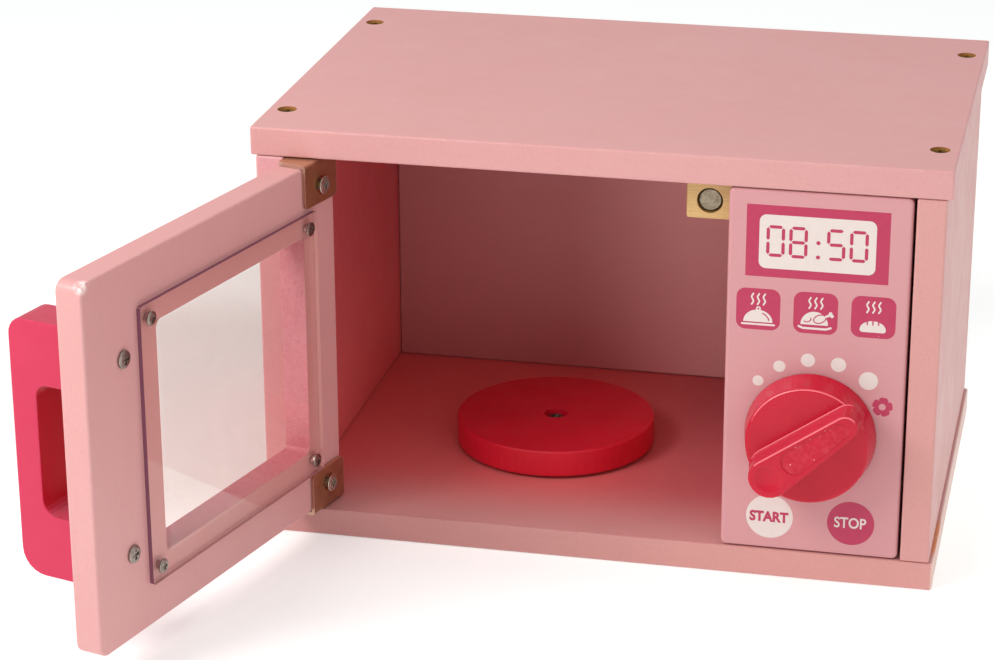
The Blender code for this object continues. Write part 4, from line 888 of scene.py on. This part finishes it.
def petals():
    """The rosette's outline: five round lobes."""
    points = []
    for step in range(PETALS * PETAL_STEPS):
        share = abs(2 * (step / PETAL_STEPS % 1) - 1)          # 1 at a lobe's start and end, 0 half-way
        lobe = math.sin(math.pi * min(1.0, 0.28 + 0.72 * share)) ** 0.5
        angle = math.radians(ROSETTE_TURN) + 2 * math.pi * step / (PETALS * PETAL_STEPS)
        reach = PETAL_FOOT + PETAL_REACH * lobe
        points.append((reach * math.cos(angle), reach * math.sin(angle)))
    return moved(points, ROSETTE)


def print_dial_and_words():
    for index, (x, z, radius) in enumerate(DOTS):
        print_piece(f"dial_dot_{index + 1}", [disc((x, z), radius)], 1, WHITE)
    print_piece("rosette", [petals(), disc(ROSETTE, ROSETTE_HOLE, 24)], 1, MAGENTA)
    print_piece("start_field", [disc(START, FIELD_RADIUS, 64)], 1, WHITE)
    print_piece("stop_field", [disc(STOP, FIELD_RADIUS, 64)], 1, MAGENTA)
    print_word("start_word", "START", START_WORD, START_WIDE, WORD_TALL, 2, MAGENTA, START_WEIGHT)
    print_word("stop_word", "STOP", STOP_WORD, STOP_WIDE, WORD_TALL, 2, WHITE, STOP_WEIGHT)


print_clock()
print_fields()
print_dish()
print_roast()
print_loaf()
print_dial_and_words()

# Paint over the steel disc in the door's inner face: a thin swelling that hides the disc
COVER_RADIUS, COVER_RISE, COVER_ROOT, COVER_SIDES = 5.3 * MM, 0.03 * MM, 0.05 * MM, 32
COVER_SHARES = ((0.5, 0.92), (0.8, 0.6), (0.95, 0.1), (0.98, -0.2), (1.0, -0.6))   # of its radius and rise


def strike_cover():
    shape = bmesh.new()
    angles = [2 * math.pi * step / COVER_SIDES for step in range(COVER_SIDES)]
    loops = []
    for share, rise_share in COVER_SHARES:
        radius, rise = COVER_RADIUS * share, COVER_RISE * rise_share
        loops.append([shape.verts.new((radius * math.cos(a), radius * math.sin(a), rise)) for a in angles])
    loops.append([shape.verts.new((v.co.x, v.co.y, -COVER_ROOT)) for v in loops[-1]])
    top = shape.verts.new((0, 0, COVER_RISE))
    foot = shape.verts.new((0, 0, -COVER_ROOT))
    for step in range(COVER_SIDES):
        after = (step + 1) % COVER_SIDES
        shape.faces.new((top, loops[0][step], loops[0][after]))
        for inner, outer in zip(loops, loops[1:]):
            shape.faces.new((inner[step], outer[step], outer[after], inner[after]))
        shape.faces.new((foot, loops[-1][after], loops[-1][step]))
    bmesh.ops.recalc_face_normals(shape, faces=shape.faces)
    mesh = bpy.data.meshes.new("strike_paint")
    shape.to_mesh(mesh)
    shape.free()
    mesh.shade_smooth()
    middle = (STRIKE_LOW + STRIKE_HIGH) / 2
    on_face = middle + (HINGE_EDGE - middle).dot(DOOR_OUT) * DOOR_OUT
    inward = DOOR_OUT.to_track_quat("Z", "X").to_matrix().to_4x4() @ Matrix.Rotation(math.pi, 4, "X")
    mesh.transform(Matrix.Translation(on_face) @ inward)
    mesh.materials.append(LOOKS["door_strike"])
    piece = bpy.data.objects.new("strike_paint", mesh)
    bpy.context.scene.collection.objects.link(piece)
    return piece


cover = strike_cover()
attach(cover, "door")

# Floor
FLOOR_REACH = 8.0
FLOOR_GAP = 0.1 * MM       # keeps the floor off the part's underside
FLOOR_WHITES = (srgb(251, 250, 249), srgb(249, 248, 247))
GLOW_TINT = (0.85, 1.0, 1.0, 1.0)
FLOOR_GLOW, SHADOW_FILL_GLOW = 0.26, 0.22                        # the floor's even glow, and the glow that fills the object's shadow, which is painted light
PAINTED_SHADE_SPOT, PAINTED_SHADE_RADIUS = Vector((-0.21, 0.04, 0)), 0.13      # painted shade: where the floor glows less
PAINTED_LIGHT_SPOT, PAINTED_LIGHT_RADIUS = Vector((0.27, 0.05, 0)), 0.26       # painted light: where it glows more


def floor_look():
    look = Look("studio_floor")
    cloud = look.noise(1.2, 3.0, 0.5)
    colour = look.mix(look.remap(cloud, 0.3, 0.7), *FLOOR_WHITES)
    # painted shade: less glow in one spot; painted light: more glow filling the object's shadow
    glow = look.remap(look.away(PAINTED_SHADE_SPOT), PAINTED_SHADE_RADIUS * 0.7, PAINTED_SHADE_RADIUS * 1.3, 0.0, FLOOR_GLOW, True)
    shadow_fill = look.remap(look.away(PAINTED_LIGHT_SPOT), PAINTED_LIGHT_RADIUS * 0.4, PAINTED_LIGHT_RADIUS, SHADOW_FILL_GLOW, 0.0, True)
    glow = look.math("ADD", glow, shadow_fill)
    return look.finish(look.shader(Base_Color=colour, Roughness=0.9, Specular_IOR_Level=0.1,
                                   Emission_Color=GLOW_TINT, Emission_Strength=glow))


def studio_floor():
    shape = bmesh.new()
    bmesh.ops.create_grid(shape, x_segments=4, y_segments=4, size=FLOOR_REACH)
    mesh = bpy.data.meshes.new("studio_floor")
    shape.to_mesh(mesh)
    shape.free()
    mesh.materials.append(floor_look())
    piece = bpy.data.objects.new("studio_floor", mesh)
    bpy.context.scene.collection.objects.link(piece)
    piece.location.z = CAD_BOX[0].z - FLOOR_GAP
    return piece


floor = studio_floor()

# Light: a pale sky and three round soft boxes, each with its place, size, power and colour
SKY_TINT, SKY_STRENGTH = (1.0, 0.985, 0.975, 1.0), 0.60
LIT_MIDDLE = Vector((0.0, 0.0, 0.09))
SOFT_BOXES = (("key", (-0.62, -0.64, 0.74), 0.5, 6.4, (1.0, 0.985, 0.97)),
              ("fill", (1.9, -0.7, 1.0), 1.4, 2.4, (1.0, 1.0, 1.0)),
              ("top", (0.0, -0.3, 1.5), 1.4, 4.6, (1.0, 1.0, 1.0)))

world = bpy.data.worlds.new("studio")
bpy.context.scene.world = world
world.use_nodes = True
sky = world.node_tree.nodes["Background"]
sky.inputs["Color"].default_value = SKY_TINT
sky.inputs["Strength"].default_value = SKY_STRENGTH
for lamp_name, place, size, power, tint in SOFT_BOXES:
    lamp = bpy.data.lights.new(lamp_name, "AREA")
    lamp.shape = "DISK"
    lamp.size = size
    lamp.energy = power
    lamp.color = tint
    soft_box = bpy.data.objects.new(lamp_name, lamp)
    bpy.context.scene.collection.objects.link(soft_box)
    soft_box.location = place
    soft_box.rotation_euler = (LIT_MIDDLE - Vector(place)).to_track_quat("-Z", "Y").to_euler()

# The photo's camera: its place, its turn in degrees and its lens in millimetres
CAMERA_PLACE = (0.21281, -1.21012, 0.54019)
CAMERA_TURN = (68.9367, 0.2242, 12.7410)
SENSOR_WIDE, FOCAL_LENGTH = 36.0, 106.203
CLIP_START, CLIP_END = 0.01, 100.0

lens = bpy.data.cameras.new("photo_camera")
lens.sensor_fit = "HORIZONTAL"
lens.sensor_width = SENSOR_WIDE
lens.lens = FOCAL_LENGTH
lens.clip_start = CLIP_START
lens.clip_end = CLIP_END
camera = bpy.data.objects.new("photo_camera", lens)
bpy.context.scene.collection.objects.link(camera)
camera.location = CAMERA_PLACE
camera.rotation_euler = [math.radians(angle) for angle in CAMERA_TURN]
bpy.context.scene.camera = camera
bpy.context.scene.view_settings.view_transform = "Standard"

bpy.context.view_layer.update()
